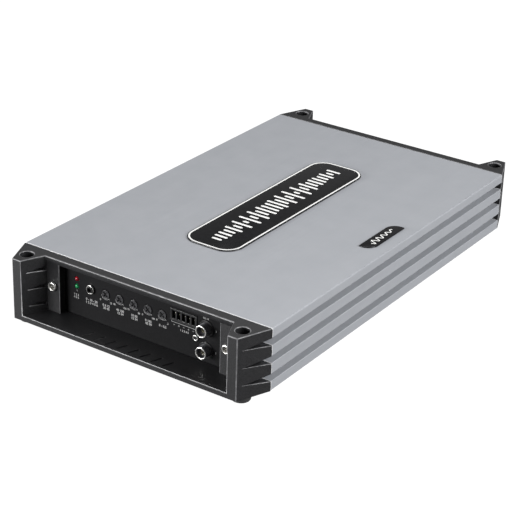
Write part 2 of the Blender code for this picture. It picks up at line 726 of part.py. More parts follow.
def make_trim_pot(name, x):
    """A trim pot: its body stands on the control board, and its slotted shaft turns in the body's bore."""
    centre = (x, CONTROL_RISE)
    face = PANEL_FACE + POT_SHAFT_PROUD
    shoulder = face - POT_SHAFT_BACK
    front = shoulder - GAP
    half = POT_BODY_WIDTH / 2
    details = box_at_end(FRONT, (x - half, x + half), (front - POT_BODY_DEPTH, front),
                         (CONTROL_TOP + GAP, CONTROL_RISE + half))
    body = prism(f"{name}_pot", *details, "black_polymer")
    bore = POT_SPIGOT / 2 + TURN_CLEARANCE
    span = across_end(FRONT, shoulder - POT_SPIGOT_LENGTH - GAP, front + CUT_MARGIN)
    cut(body, [("turned", rod(bore, *span), "Y", (x, level(CONTROL_RISE)), 20)])

    tip = shoulder - POT_SPIGOT_LENGTH
    profile = [(0, tip), (POT_SPIGOT / 2, tip), (POT_SPIGOT / 2, shoulder), (POT_SHAFT / 2, shoulder),
               (POT_SHAFT / 2, face - 0.3), (POT_SHAFT / 2 - 0.3, face), (0, face)]
    shaft = turned_at_end(f"{name}_shaft", profile, FRONT, centre, "black_polymer",
                          origin_depth=face, sides=24)
    cut_cross(shaft, FRONT, centre, face, POT_SHAFT - 1.6, POT_SLOT, POT_SLOT_SINK)


def make_input_socket():
    """The pluggable five-pole input header: a stepped block, its foot behind the phono housing's ear."""
    face = PANEL_FACE + SOCKET_PROUD
    front = PANEL_FACE - PANEL_THICKNESS - GAP - PHONO_EAR_THICKNESS - GAP
    back = face - SOCKET_DEPTH
    top = SOCKET_RISE + SOCKET_HEIGHT
    side = [(back, CONTROL_TOP + GAP), (front, CONTROL_TOP + GAP), (front, SOCKET_RISE), (face, SOCKET_RISE),
            (face, top), (back, top)]
    side = [(end_y(FRONT, depth), level(rise)) for depth, rise in side]
    low_x = SOCKET_X - SOCKET_WIDTH / 2
    socket = prism("input_socket", side, "X", low_x, low_x + SOCKET_WIDTH, "black_polymer")
    width, height, depth = SOCKET_POCKET
    middle = SOCKET_RISE + SOCKET_HEIGHT / 2
    pockets = []
    for index in range(SOCKET_POLES):
        x = SOCKET_X + (index - (SOCKET_POLES - 1) / 2) * SOCKET_PITCH
        details = box_at_end(FRONT, (x - width / 2, x + width / 2), (face - depth, face + CUT_MARGIN),
                             (middle - height / 2, middle + height / 2))
        pockets.append(("prism", *details))
    cut(socket, pockets)


def make_phono_jacks():
    """The stacked pair of phono jacks: a shared housing, and for each a shell and an insert."""
    front = PANEL_FACE - PANEL_THICKNESS - GAP
    back = front - RCA_HOUSING_DEPTH
    half = RCA_HOUSING_WIDTH / 2
    low, high = MAIN_BOARD_TOP + GAP, max(RCA_RISES.values()) + RCA_HOUSING_MARGIN
    housing = prism("phono_housing", *box_at_end(FRONT, (RCA_X - half, RCA_X + half), (back, front),
                                                 (low, high)),
                    "black_polymer")
    rivet_x = RCA_X - RIVET_OFFSET
    ear_half = RIVET_SHANK / 2 + GAP + PHONO_EAR_WALL
    ear = box_at_end(FRONT, (rivet_x - ear_half, RCA_X), (front - PHONO_EAR_THICKNESS, front),
                     (RIVET_RISE - ear_half, RIVET_RISE + ear_half))
    combine(housing, prism("phono_housing_ear", *ear), "UNION")
    for side, rise in RCA_RISES.items():
        bezel = rod(RCA_BEZEL / 2, front - 1, PANEL_FACE + RCA_BEZEL_PROUD)
        bezel = turned_at_end(f"phono_bezel_{side}", bezel, FRONT, (RCA_X, rise), None, sides=24)
        combine(housing, bezel, "UNION")

    inner_end = back + 3
    mouth = PANEL_FACE + RCA_PROUD
    shell_radius = RCA_SHELL / 2
    bores = []
    for rise in RCA_RISES.values():
        span = across_end(FRONT, inner_end - GAP, mouth)
        bores.append(("turned", rod(shell_radius + GAP, *span), "Y", (RCA_X, level(rise)), 24))
    span = across_end(FRONT, front - PHONO_EAR_THICKNESS - CUT_MARGIN, front + CUT_MARGIN)
    bores.append(("turned", rod(RIVET_SHANK / 2 + GAP, *span), "Y", (rivet_x, level(RIVET_RISE)), 16))
    cut(housing, bores)

    inner_radius = shell_radius - RCA_SHELL_WALL
    insert_radius = inner_radius - GAP
    insert_face = mouth - RCA_INSERT_SINK
    contact = RCA_CONTACT_BORE / 2
    for side, rise in RCA_RISES.items():
        centre = (RCA_X, rise)
        profile = tube(inner_radius, shell_radius, inner_end, mouth)
        turned_at_end(f"phono_shell_{side}", profile, FRONT, centre, "dark_nickel", sides=24)
        profile = [(0, inner_end), (insert_radius, inner_end), (insert_radius, insert_face),
                   (contact, insert_face),
                   (contact, insert_face - RCA_CONTACT_DEPTH), (0, insert_face - RCA_CONTACT_DEPTH)]
        turned_at_end(f"phono_insert_{side}", profile, FRONT, centre, "black_polymer", sides=20)

    head = PANEL_FACE + GAP
    profile = [(RIVET_BORE / 2, front - 2.6), (RIVET_SHANK / 2, front - 2.6), (RIVET_SHANK / 2, head),
               (RIVET_HEAD / 2, head), (RIVET_HEAD / 2 - 0.3, head + RIVET_PROUD),
               (RIVET_BORE / 2, head + RIVET_PROUD)]
    turned_at_end("phono_rivet", profile, FRONT, (rivet_x, RIVET_RISE), "nickel", sides=20)


# ---------------------------------------------------------------- terminals and fuses

def pole_positions(centre, poles):
    """(name, x, wire hole diameter) of each pole of a terminal block, left to right."""
    width = sum(poles.values()) + BLOCK_WALL * (len(poles) + 1)
    x = centre - width / 2 + BLOCK_WALL
    found = []
    for name, hole in poles.items():
        found.append((name, x + hole / 2, hole))
        x += hole + BLOCK_WALL
    return width, found


def make_terminal_block(name, centre, poles):
    """A block with a wire hole in its face for each pole, and a clamp screw that comes down on the wire."""
    width, places = pole_positions(centre, poles)
    top = BLOCK_RISE + BLOCK_HEIGHT
    details = box_at_end(REAR, (centre - width / 2, centre + width / 2), (-BLOCK_INNER_DEPTH, BLOCK_REACH),
                         (BLOCK_RISE, top))
    block = prism(name, *details, "black_polymer")
    axis_y = end_y(REAR, CLAMP_DEPTH)
    wire_z = level(BLOCK_RISE + WIRE_RISE)
    wires, clamps = [], []
    for pole, x, hole in places:
        large = hole > CLAMP_SCREW
        diameter = CLAMP_SCREW if large else SMALL_CLAMP_SCREW
        span = across_end(REAR, BLOCK_REACH - WIRE_HOLE_DEPTH, BLOCK_REACH + CUT_MARGIN)
        wires.append(("turned", rod(hole / 2, *span), "Y", (x, wire_z), 20))
        bore = diameter / 2 + TURN_CLEARANCE
        clamps.append(("turned", rod(bore, wire_z, level(top + CUT_MARGIN)), "Z", (x, axis_y), 20))

        head = level(top - CLAMP_SCREW_SINK)
        foot = head - CLAMP_SCREW_LENGTH
        profile = [(0, foot), (diameter / 2, foot), (diameter / 2, head - 0.4), (diameter / 2 - 0.4, head),
                   (0, head)]
        screw = turned(f"{pole}_clamp_screw", profile, "Z", (x, axis_y), "nickel", (x, axis_y, head), 20)
        across_flats = CLAMP_HEX if large else SMALL_CLAMP_HEX
        key = circle(x, axis_y, across_flats / math.cos(math.pi / 6), 6)
        cut(screw, [("prism", key, "Z", head - CLAMP_HEX_SINK, head + CUT_MARGIN)])
        pad_top = foot - GAP
        profile = rod(diameter / 2, pad_top - CLAMP_PAD_THICKNESS, pad_top)
        turned(f"{pole}_clamp_pad", profile, "Z", (x, axis_y), "nickel", (x, axis_y, pad_top), 16)
    cut(block, wires)
    cut(block, clamps)
    return square_opening(REAR, centre - width / 2, centre + width / 2, BLOCK_RISE, top)


def make_fuses():
    """The fuse holder, with a blade fuse in each of its two seats."""
    seat_width = FUSE_WIDTH / 2 + GAP
    seat_half = FUSE_THICKNESS / 2 + GAP
    half_width = (FUSE_COUNT - 1) * FUSE_PITCH / 2 + seat_half + FUSE_HOLDER_WALL
    half_height = seat_width + FUSE_HOLDER_WALL
    low, high = FUSE_RISE - half_height, FUSE_RISE + half_height
    face = PANEL_FACE + FUSE_HOLDER_PROUD
    details = box_at_end(REAR, (FUSE_CENTRE - half_width, FUSE_CENTRE + half_width),
                         (-FUSE_HOLDER_BACK, face),
                         (low, high))
    holder = prism("fuse_holder", *details, "black_polymer")
    seats, slots = [], []
    blade_width, blade_thickness, blade_length = FUSE_BLADE
    fuse_back = face - FUSE_SEAT + GAP
    for index in range(FUSE_COUNT):
        x = FUSE_CENTRE + (index - (FUSE_COUNT - 1) / 2) * FUSE_PITCH
        details = box_at_end(REAR, (x - seat_half, x + seat_half), (face - FUSE_SEAT, face + CUT_MARGIN),
                             (FUSE_RISE - seat_width, FUSE_RISE + seat_width))
        seats.append(("prism", *details))
        body = box_at_end(REAR, (x - FUSE_THICKNESS / 2, x + FUSE_THICKNESS / 2),
                          (fuse_back, fuse_back + FUSE_BODY),
                          (FUSE_RISE - FUSE_WIDTH / 2, FUSE_RISE + FUSE_WIDTH / 2))
        origin = (x, end_y(REAR, fuse_back), level(FUSE_RISE))
        fuse = prism(f"blade_fuse_{index + 1}", *body, "orange_fuse", origin)
        for side in (-1, 1):
            middle = FUSE_RISE + side * FUSE_BLADE_SPACING / 2
            thick, tall = blade_thickness / 2, blade_width / 2
            blade = box_at_end(REAR, (x - thick, x + thick), (fuse_back - blade_length, fuse_back + 1),
                               (middle - tall, middle + tall))
            place = "lower" if side < 0 else "upper"
            combine(fuse, prism(f"blade_{index + 1}_{place}", *blade), "UNION")
            slot = box_at_end(REAR, (x - thick - GAP, x + thick + GAP),
                              (fuse_back - blade_length - GAP, face - FUSE_SEAT + CUT_MARGIN),
                              (middle - tall - GAP, middle + tall + GAP))
            slots.append(("prism", *slot))
    cut(holder, seats)
    cut(holder, slots)
    return square_opening(REAR, FUSE_CENTRE - half_width, FUSE_CENTRE + half_width, low, high)


def make_rear_panel():
    openings = [
        make_terminal_block("power_terminal_block", POWER_BLOCK_CENTRE, POWER_POLES),
        make_terminal_block("speaker_terminal_block", SPEAKER_BLOCK_CENTRE, SPEAKER_POLES),
        make_fuses(),
    ]
    panel_plate("rear_panel", REAR, openings)


# ---------------------------------------------------------------- boards and what stands on them

def make_boards():
    half_width = INNER_HALF_WIDTH - GAP
    low, high = end_y(FRONT, -MAIN_BOARD_MARGIN), end_y(REAR, -MAIN_BOARD_MARGIN)
    prism("main_board", rectangle(-half_width, half_width, low, high), "Z",
          level(MAIN_BOARD_TOP - BOARD_THICKNESS), level(MAIN_BOARD_TOP), "board_laminate")
    low_x = -WINDOW_HALF + CONTROL_BOARD_INSET
    high_x = RCA_X - RCA_HOUSING_WIDTH / 2 - 2 * GAP
    span = across_end(FRONT, -CONTROL_BOARD_SETBACK - CONTROL_BOARD_DEPTH, -CONTROL_BOARD_SETBACK)
    prism("control_board", rectangle(low_x, high_x, *span), "Z",
          level(CONTROL_TOP - BOARD_THICKNESS), level(CONTROL_TOP), "board_laminate")


def wound_ring(name, x, y, outer, inner, height):
    """A wound ring core lying flat, its section rounded."""
    base = level(MAIN_BOARD_TOP + GAP)
    section = rounded(rectangle(inner / 2, outer / 2, base, base + height), [(outer - inner) / 8] * 4, 2)
    turned(name, section, "Z", (x, y), "enamelled_copper", sides=24)


def make_power_parts():
    wound_ring("power_transformer", TOROID_PLACE[0], TOROID_PLACE[1],
               TOROID_OUTER, TOROID_INNER, TOROID_HEIGHT)
    wound_ring("output_inductor", INDUCTOR_PLACE[0], INDUCTOR_PLACE[1], INDUCTOR_OUTER, INDUCTOR_INNER,
               INDUCTOR_HEIGHT)
    base = level(MAIN_BOARD_TOP + GAP)
    radius = CAPACITOR_DIAMETER / 2
    for index in range(CAPACITOR_COUNT):
        centre = (CAPACITOR_PLACE[0] + index * CAPACITOR_PITCH, CAPACITOR_PLACE[1])
        profile = [(0, base), (radius, base), (radius, base + CAPACITOR_HEIGHT - 1),
                   (radius - 1, base + CAPACITOR_HEIGHT), (0, base + CAPACITOR_HEIGHT)]
        turned(f"capacitor_{index + 1}", profile, "Z", centre, "capacitor_sleeve", sides=20)
    outer = INNER_HALF_WIDTH - GAP
    section = [(outer, 0), (outer, BAR_HEIGHT), (outer - BAR_WIDTH, BAR_HEIGHT),
               (outer - BAR_WIDTH, BAR_HEIGHT - BAR_WALL), (outer - BAR_WALL, BAR_HEIGHT - BAR_WALL),
               (outer - BAR_WALL, 0)]
    section = [(x, base + rise) for x, rise in section]
    prism("transistor_clamp_bar", section, "Y", -BAR_LENGTH / 2, BAR_LENGTH / 2, "zinc_steel")


def main():
    for leftover in list(bpy.data.objects):
        bpy.data.objects.remove(leftover, do_unlink=True)
    make_case()
    make_badges()
    make_ends()
    make_front_panel()
    make_indicators()
    make_remote_jack()
    for name, x in zip(POT_NAMES, POT_X):
        make_trim_pot(name, x)
    make_input_socket()
    make_phono_jacks()
    make_rear_panel()
    make_boards()
    make_power_parts()


main()
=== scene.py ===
"""The looks of a car amplifier: a finned aluminium case with a moulded cap on each end.

Lengths here are millimetres until a mesh is made. X runs across the case and Y along it, with the
control panel at -Y. Z is up, and Z = 0 is what the feet stand on.
"""

import json
import math

import bmesh
import bpy
import numpy as np
from mathutils import Matrix, Vector

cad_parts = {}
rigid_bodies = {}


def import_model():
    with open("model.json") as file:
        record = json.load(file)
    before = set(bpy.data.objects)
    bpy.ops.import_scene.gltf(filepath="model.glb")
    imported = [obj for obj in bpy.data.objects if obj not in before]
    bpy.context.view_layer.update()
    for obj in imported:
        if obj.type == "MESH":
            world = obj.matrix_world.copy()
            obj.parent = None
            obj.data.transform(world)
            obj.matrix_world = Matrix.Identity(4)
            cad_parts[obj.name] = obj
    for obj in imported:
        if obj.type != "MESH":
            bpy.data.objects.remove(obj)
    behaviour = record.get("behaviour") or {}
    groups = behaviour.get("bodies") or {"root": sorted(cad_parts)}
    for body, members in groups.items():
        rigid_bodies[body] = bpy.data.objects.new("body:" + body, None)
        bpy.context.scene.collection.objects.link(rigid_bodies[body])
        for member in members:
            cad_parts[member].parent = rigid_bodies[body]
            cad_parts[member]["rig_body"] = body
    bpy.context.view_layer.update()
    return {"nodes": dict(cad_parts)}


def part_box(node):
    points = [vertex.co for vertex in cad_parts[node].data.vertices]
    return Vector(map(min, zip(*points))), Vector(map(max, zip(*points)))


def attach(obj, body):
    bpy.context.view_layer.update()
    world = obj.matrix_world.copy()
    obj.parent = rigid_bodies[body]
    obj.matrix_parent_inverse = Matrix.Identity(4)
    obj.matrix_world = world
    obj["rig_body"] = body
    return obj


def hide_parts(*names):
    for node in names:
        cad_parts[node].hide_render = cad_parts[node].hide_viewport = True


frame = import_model()
MM = 0.001


# ---------------------------------------------------------------- camera, floor and light

CAMERA_AZIMUTH = math.radians(33.77)
CAMERA_ELEVATION = math.radians(25.91)
CAMERA_ROLL = math.radians(1.79)
CAMERA_PLACE = (0.59656, -0.91109, 0.53475)
CAMERA_LENS = 116.9
SENSOR = 36.0


def make_camera():
    """The camera looks along -back; right and up are turned about that line by the roll."""
    a, e, r = CAMERA_AZIMUTH, CAMERA_ELEVATION, CAMERA_ROLL
    back = Vector((math.sin(a) * math.cos(e), -math.cos(a) * math.cos(e), math.sin(e)))
    right = Vector((math.cos(a), math.sin(a), 0.0))
    up = back.cross(right)
    across = math.cos(r) * right + math.sin(r) * up
    upward = -math.sin(r) * right + math.cos(r) * up
    data = bpy.data.cameras.new("camera")
    data.sensor_width = SENSOR
    data.lens = CAMERA_LENS
    data.clip_start, data.clip_end = 0.01, 50.0
    camera = bpy.data.objects.new("camera", data)
    turn = Matrix((across, upward, back)).transposed().to_4x4()
    camera.matrix_world = Matrix.Translation(CAMERA_PLACE) @ turn
    bpy.context.scene.collection.objects.link(camera)
    bpy.context.scene.camera = camera


make_camera()


def linear(colour):
    """An sRGB hex colour as the linear values that a shader takes, with an alpha of 1."""
    parts = np.array([int(colour[i:i + 2], 16) for i in (1, 3, 5)]) / 255
    parts = np.where(parts <= 0.04045, parts / 12.92, ((parts + 0.055) / 1.055) ** 2.4)
    return (*parts.tolist(), 1.0)


def add(tree, kind, inputs=None, **settings):
    """Adds a node to a tree.

    settings are its properties. inputs are its sockets' values, or the sockets that feed them.
    """
    made = tree.nodes.new(kind)
    for name, value in settings.items():
        setattr(made, name, value)
    for name, value in (inputs or {}).items():
        if isinstance(value, bpy.types.NodeSocket):
            tree.links.new(value, made.inputs[name])
        else:
            made.inputs[name].default_value = value
    return made


def surface_of(name, **values):
    """A new material whose Principled shader has these values.

    Gives (material, tree, shader, place), where place is the Object coordinates.
    """
    made = bpy.data.materials.new(name)
    made.use_nodes = True
    tree = made.node_tree
    shader = tree.nodes["Principled BSDF"]
    for socket, value in values.items():
        shader.inputs[socket.replace("_", " ")].default_value = value
    place = add(tree, "ShaderNodeTexCoord").outputs["Object"]
    return made, tree, shader, place


def add_light(name, place, target, size, power):
    """A white rectangular softbox of a size in metres and a power in watts, turned towards the target."""
    data = bpy.data.lights.new(name, "AREA")
    data.shape = "RECTANGLE"
    data.size, data.size_y = size
    data.energy = power
    light = bpy.data.objects.new(name, data)
    light.location = place
    light.rotation_euler = (Vector(target) - Vector(place)).to_track_quat("-Z", "Y").to_euler()
    bpy.context.scene.collection.objects.link(light)


FLOOR_GLOW = 0.98                  # as the camera sees it
FLOOR_LIGHT = 0.08                 # as it lights what stands on it
SKY_GLOW = 0.16
FLOOR_REACH = 6.0                  # from the middle to each side, in metres


def make_studio():
    """A white sky, a white floor and three softboxes: behind, at the front left and at the right."""
    world = bpy.data.worlds.new("studio")
    world.use_nodes = True
    sky = world.node_tree.nodes["Background"]
    sky.inputs["Color"].default_value = linear("#ffffff")
    sky.inputs["Strength"].default_value = SKY_GLOW
    bpy.context.scene.world = world
    bpy.context.scene.view_settings.view_transform = "Standard"

    # a white sweep that glows a little, so that the soft shadow on it stays faint
    paper, tree, shader, _ = surface_of("white_paper", Base_Color=linear("#484848"), Roughness=0.9)
    shader.inputs["Emission Color"].default_value = linear("#ffffff")
    seen = add(tree, "ShaderNodeLightPath").outputs["Is Camera Ray"]
    glow = add(tree, "ShaderNodeMapRange", {"Value": seen, "To Min": FLOOR_LIGHT, "To Max": FLOOR_GLOW})
    tree.links.new(glow.outputs[0], shader.inputs["Emission Strength"])
    corners = [(x * FLOOR_REACH, y * FLOOR_REACH, 0) for x, y in ((-1, -1), (1, -1), (1, 1), (-1, 1))]
    mesh = bpy.data.meshes.new("floor")
    mesh.from_pydata(corners, [], [(0, 1, 2, 3)])
    mesh.materials.append(paper)
    floor = bpy.data.objects.new("floor", mesh)
    bpy.context.scene.collection.objects.link(floor)

    centre = (0.0, 0.0, 0.03)
    add_light("back_softbox", (-0.45, 0.66, 1.36), centre, (1.2, 0.75), 10.0)
    add_light("front_left_softbox", (-1.05, -1.4, 0.27), centre, (1.4, 0.4), 54.0)
    add_light("right_softbox", (1.25, 0.1, 0.72), centre, (0.6, 1.0), 30.0)


make_studio()


# ---------------------------------------------------------------- finishes

def speckled(tree, place, scale, low, high, detail=4.0, stretch=(1.0, 1.0, 1.0)):
    """A noise value spread over low to high; stretch squeezes the pattern along an axis."""
    mapped = add(tree, "ShaderNodeMapping", {"Vector": place, "Scale": stretch}).outputs[0]
    noise = add(tree, "ShaderNodeTexNoise", {"Vector": mapped, "Scale": scale, "Detail": detail})
    spread = add(tree, "ShaderNodeMapRange", {"Value": noise.outputs[0], "From Min": 0.3, "From Max": 0.7,
                                              "To Min": low, "To Max": high})
    return spread.outputs[0]


def roughen(tree, shader, height, strength, distance):
    """Feeds a height to the shader's normal; distance is the relief in metres."""
    bump = add(tree, "ShaderNodeBump", {"Height": height, "Strength": strength, "Distance": distance})
    tree.links.new(bump.outputs[0], shader.inputs["Normal"])


def blended(tree, share, dark, light):
    """A colour from dark, at share 0, to light, at share 1. dark is a colour's four values or a socket."""
    mixed = add(tree, "ShaderNodeMix", {"Factor": share, "A": dark, "B": light}, data_type="RGBA")
    return mixed.outputs["Result"]


def tinted(tree, shader, share, dark, light):
    """Feeds the base colour from the hex colour dark, at share 0, to light, at share 1."""
    tree.links.new(blended(tree, share, linear(dark), linear(light)), shader.inputs["Base Color"])


SAWN_END_HIGHLIGHT_FROM, SAWN_END_HIGHLIGHT_TO = 0.15155, 0.1517      # where the painted edge highlight on the case's bare saw cut fades in, from its middle, in metres


def anodised_aluminium():
    """Extruded 6063 aluminium, etched and clear anodised: a soft grey metal with faint die lines along it.

    The saw cut at each end is bare, and its last third of a millimetre is painted much lighter: a painted
    edge highlight over the bare metal.
    """
    made, tree, shader, place = surface_of("anodised_aluminium", Metallic=0.3)
    lines = speckled(tree, place, 1.0, 0.0, 1.0, 3.0, (2600.0, 9.0, 2600.0))      # lines about 0.4 mm apart
    cloud = speckled(tree, place, 60.0, 0.0, 1.0)                                 # 17 mm patches of etching
    grit = speckled(tree, place, 5200.0, 0.0, 1.0, 2.0)                           # 0.2 mm grain
    share = add(tree, "ShaderNodeMath", {0: lines, 1: cloud}, operation="ADD")
    share = add(tree, "ShaderNodeMath", {0: share.outputs[0], 1: grit}, operation="ADD")
    share = add(tree, "ShaderNodeMath", {0: share.outputs[0], 1: 3.0}, operation="DIVIDE").outputs[0]
    skin = blended(tree, share, linear("#9da0a5"), linear("#a8aaaf"))
    along = add(tree, "ShaderNodeSeparateXYZ", {"Vector": place}).outputs["Y"]
    reach = add(tree, "ShaderNodeMath", {0: along}, operation="ABSOLUTE").outputs[0]
    sawn_end_highlight = add(tree, "ShaderNodeMapRange", {"Value": reach, "From Min": SAWN_END_HIGHLIGHT_FROM, "From Max": SAWN_END_HIGHLIGHT_TO})
    # towards each end the colour goes to near white: a painted edge highlight
    tree.links.new(blended(tree, sawn_end_highlight.outputs[0], skin, linear("#e6e6e8")), shader.inputs["Base Color"])
    rough = speckled(tree, place, 1.0, 0.40, 0.47, 3.0, (2600.0, 9.0, 2600.0))
    tree.links.new(rough, shader.inputs["Roughness"])
    roughen(tree, shader, share, 0.12, 0.00004)
    return made


def moulded_nylon():
    """Glass-filled nylon 66 from a spark-eroded mould: a 0.7 mm grain that breaks up a dull sheen."""
    made, tree, shader, place = surface_of("moulded_nylon", IOR=1.42)
    grain = speckled(tree, place, 1500.0, 0.0, 1.0, 3.0)
    tinted(tree, shader, grain, "#0e0e0f", "#2a2a2c")
    rough = speckled(tree, place, 1500.0, 0.40, 0.56, 2.0)
    tree.links.new(rough, shader.inputs["Roughness"])
    roughen(tree, shader, grain, 0.5, 0.00008)
    return made


def nylon_edge_highlight():
    """The same nylon, painted much lighter for the rounded edges: a painted highlight line along each edge.
    """
    made, tree, shader, place = surface_of("nylon_painted_edge_highlight", IOR=1.53)
    highlight_patches = speckled(tree, place, 260.0, 0.0, 1.0, 3.0)                            # 4 mm patches in the painted highlight
    tinted(tree, shader, highlight_patches, "#505052", "#7e7e80")
    rough = speckled(tree, place, 900.0, 0.30, 0.42, 2.0)
    tree.links.new(rough, shader.inputs["Roughness"])
    return made


def powder_coat(name, dark, light, roughness, index=1.5):
    """Fine black powder coat on sheet steel: an even satin with a soft ripple every millimetre or so."""
    made, tree, shader, place = surface_of(name, Roughness=roughness, IOR=index)
    ripple = speckled(tree, place, 900.0, 0.0, 1.0, 2.0)
    tinted(tree, shader, ripple, dark, light)
    roughen(tree, shader, ripple, 0.2, 0.00003)
    return made


def lacquer():
    """Black lacquer over a printed badge: deep black under a clear gloss coat, with a little orange peel."""
    made, tree, shader, place = surface_of("badge_lacquer", Roughness=0.14, IOR=1.45)
    peel = speckled(tree, place, 420.0, 0.0, 1.0, 1.0)                            # 2.4 mm ripple
    tinted(tree, shader, peel, "#0d0d0f", "#151517")
    roughen(tree, shader, peel, 0.08, 0.00003)
    return made


def print_ink():
    """White screen-print ink: flat and matt, with the weave of the screen just breaking its edges."""
    made, tree, shader, place = surface_of("white_print_ink", Roughness=0.55, IOR=1.48)
    weave = speckled(tree, place, 3500.0, 0.0, 1.0, 1.0)
    tinted(tree, shader, weave, "#e2e2e0", "#f6f6f4")
    return made


def legend_ink():
    """The same ink laid thin over black, so that it reads a little grey."""
    made, tree, shader, place = surface_of("thin_print_ink", Roughness=0.6, IOR=1.48)
    weave = speckled(tree, place, 5000.0, 0.0, 1.0, 1.0)
    tinted(tree, shader, weave, "#7c7c7c", "#a2a2a2")
    return made


def bright_metal(name, dark, light, low, high, metal=1.0):
    """Plated steel or brass: a clear metal with faint polishing marks, and duller in small patches."""
    made, tree, shader, place = surface_of(name, Metallic=metal)
    marks = speckled(tree, place, 1.0, 0.0, 1.0, 3.0, (900.0, 900.0, 3500.0))
    tinted(tree, shader, marks, dark, light)
    rough = speckled(tree, place, 1600.0, low, high, 2.0)
    tree.links.new(rough, shader.inputs["Roughness"])
    roughen(tree, shader, marks, 0.05, 0.00001)
    return made


def moulded_plastic(name, dark, light, low, high, grain=1800.0, relief=0.15):
    """A small injection-moulded part: close to smooth, with a fine eroded grain."""
    made, tree, shader, place = surface_of(name, IOR=1.52)
    speck = speckled(tree, place, grain, 0.0, 1.0, 2.0)
    tinted(tree, shader, speck, dark, light)
    rough = speckled(tree, place, grain / 2, low, high, 2.0)
    tree.links.new(rough, shader.inputs["Roughness"])
    roughen(tree, shader, speck, relief, 0.00002)
    return made


def lens(name, colour, glow):
    """A diffused epoxy indicator: coloured all through, glossy, with a little light inside."""
    made, tree, shader, place = surface_of(name, Roughness=0.14, IOR=1.54)
    cloud = speckled(tree, place, 900.0, 0.0, 1.0, 1.0)
    tinted(tree, shader, cloud, colour, glow)
    shader.inputs["Emission Color"].default_value = linear(glow)
    shader.inputs["Emission Strength"].default_value = 0.06
    shader.inputs["Subsurface Weight"].default_value = 0.2
    shader.inputs["Subsurface Scale"].default_value = 0.001
    return made


def fuse_plastic():
    """Clear amber polycarbonate of a 40 A blade fuse: it lets light into its thickness."""
    made, tree, shader, place = surface_of("amber_polycarbonate", Roughness=0.16, IOR=1.58,
                                           Transmission_Weight=0.35)
    cloud = speckled(tree, place, 500.0, 0.0, 1.0, 1.0)
    tinted(tree, shader, cloud, "#d8701c", "#f0923a")
    roughen(tree, shader, cloud, 0.05, 0.00002)
    return made


def wound_wire():
    """Enamelled copper wire wound side by side, 1.2 mm from turn to turn, in a warm clear varnish."""
    made, tree, shader, place = surface_of("enamelled_copper_wire", Metallic=0.85, Roughness=0.32)
    wave = add(tree, "ShaderNodeTexWave", {"Vector": place, "Scale": 260.0, "Distortion": 1.5, "Detail": 1.0},
               wave_type="BANDS", bands_direction="X")
    tinted(tree, shader, wave.outputs["Fac"], "#6b2c12", "#c8672c")
    roughen(tree, shader, wave.outputs["Fac"], 0.6, 0.0003)
    return made


def circuit_laminate():
    """Glass-epoxy board under green solder mask, with the glass cloth's 0.7 mm weave just visible."""
    made, tree, shader, place = surface_of("solder_mask", Roughness=0.35, IOR=1.55)
    weave = add(tree, "ShaderNodeTexWave", {"Vector": place, "Scale": 620.0, "Distortion": 0.4},
                wave_type="BANDS", bands_direction="DIAGONAL")
    tinted(tree, shader, weave.outputs["Fac"], "#0a3a20", "#0f4a2a")
    roughen(tree, shader, weave.outputs["Fac"], 0.1, 0.00003)
    return made


ALUMINIUM = anodised_aluminium()
NYLON = moulded_nylon()
# a lighter copy of the nylon for the caps' rounded edges: a painted highlight
NYLON_EDGE_HIGHLIGHT = nylon_edge_highlight()
PANEL = powder_coat("panel_powder_coat", "#0b0b0c", "#101012", 0.45, 1.24)
STEEL = powder_coat("base_powder_coat", "#232325", "#2c2c2e", 0.5)
LACQUER = lacquer()
PRINT = print_ink()
LEGEND = legend_ink()
NICKEL = bright_metal("bright_nickel_plate", "#c9c7c2", "#efeeea", 0.14, 0.26)
BLACK_NICKEL = bright_metal("black_nickel_plate", "#66666a", "#7c7c80", 0.24, 0.34, 0.35)
# a darker copy of the steel: painted shade in the screws' dishes
STEEL_PAINTED_SHADE = bright_metal("steel_painted_shade", "#7c7a76", "#9c9994", 0.3, 0.42)
# a lighter copy of the nickel: painted highlight on rims and rings
NICKEL_PAINTED_HIGHLIGHT = bright_metal("nickel_painted_highlight", "#e9e8e4", "#fbfbf8", 0.22, 0.34)
TIN = bright_metal("tinned_brass", "#b9b39d", "#ded9c6", 0.22, 0.34)
ZINC = bright_metal("zinc_plated_steel", "#8f9296", "#b4b7bb", 0.28, 0.42)
POLYMER = moulded_plastic("black_polyamide", "#111112", "#1a1a1b", 0.32, 0.46)
# a lighter copy of the polyamide for rounded edges: a painted highlight line
POLYMER_EDGE_HIGHLIGHT = moulded_plastic("black_polyamide_painted_edge_highlight", "#2a2a2c", "#383839", 0.22, 0.32)
SHAFT_PLASTIC = moulded_plastic("black_acetal", "#2b2b2d", "#373739", 0.24, 0.36)
RUBBER = moulded_plastic("moulded_rubber", "#242425", "#303031", 0.6, 0.78, 1200.0, 0.3)
RED_LENS = lens("red_epoxy_lens", "#6a0d18", "#a41e2e")
GREEN_LENS = lens("green_epoxy_lens", "#11643a", "#279a5c")
AMBER = fuse_plastic()
COPPER = wound_wire()
LAMINATE = circuit_laminate()
SLEEVE = moulded_plastic("shrink_sleeve", "#10162a", "#182038", 0.2, 0.32, 600.0, 0.05)


# ---------------------------------------------------------------- making pieces

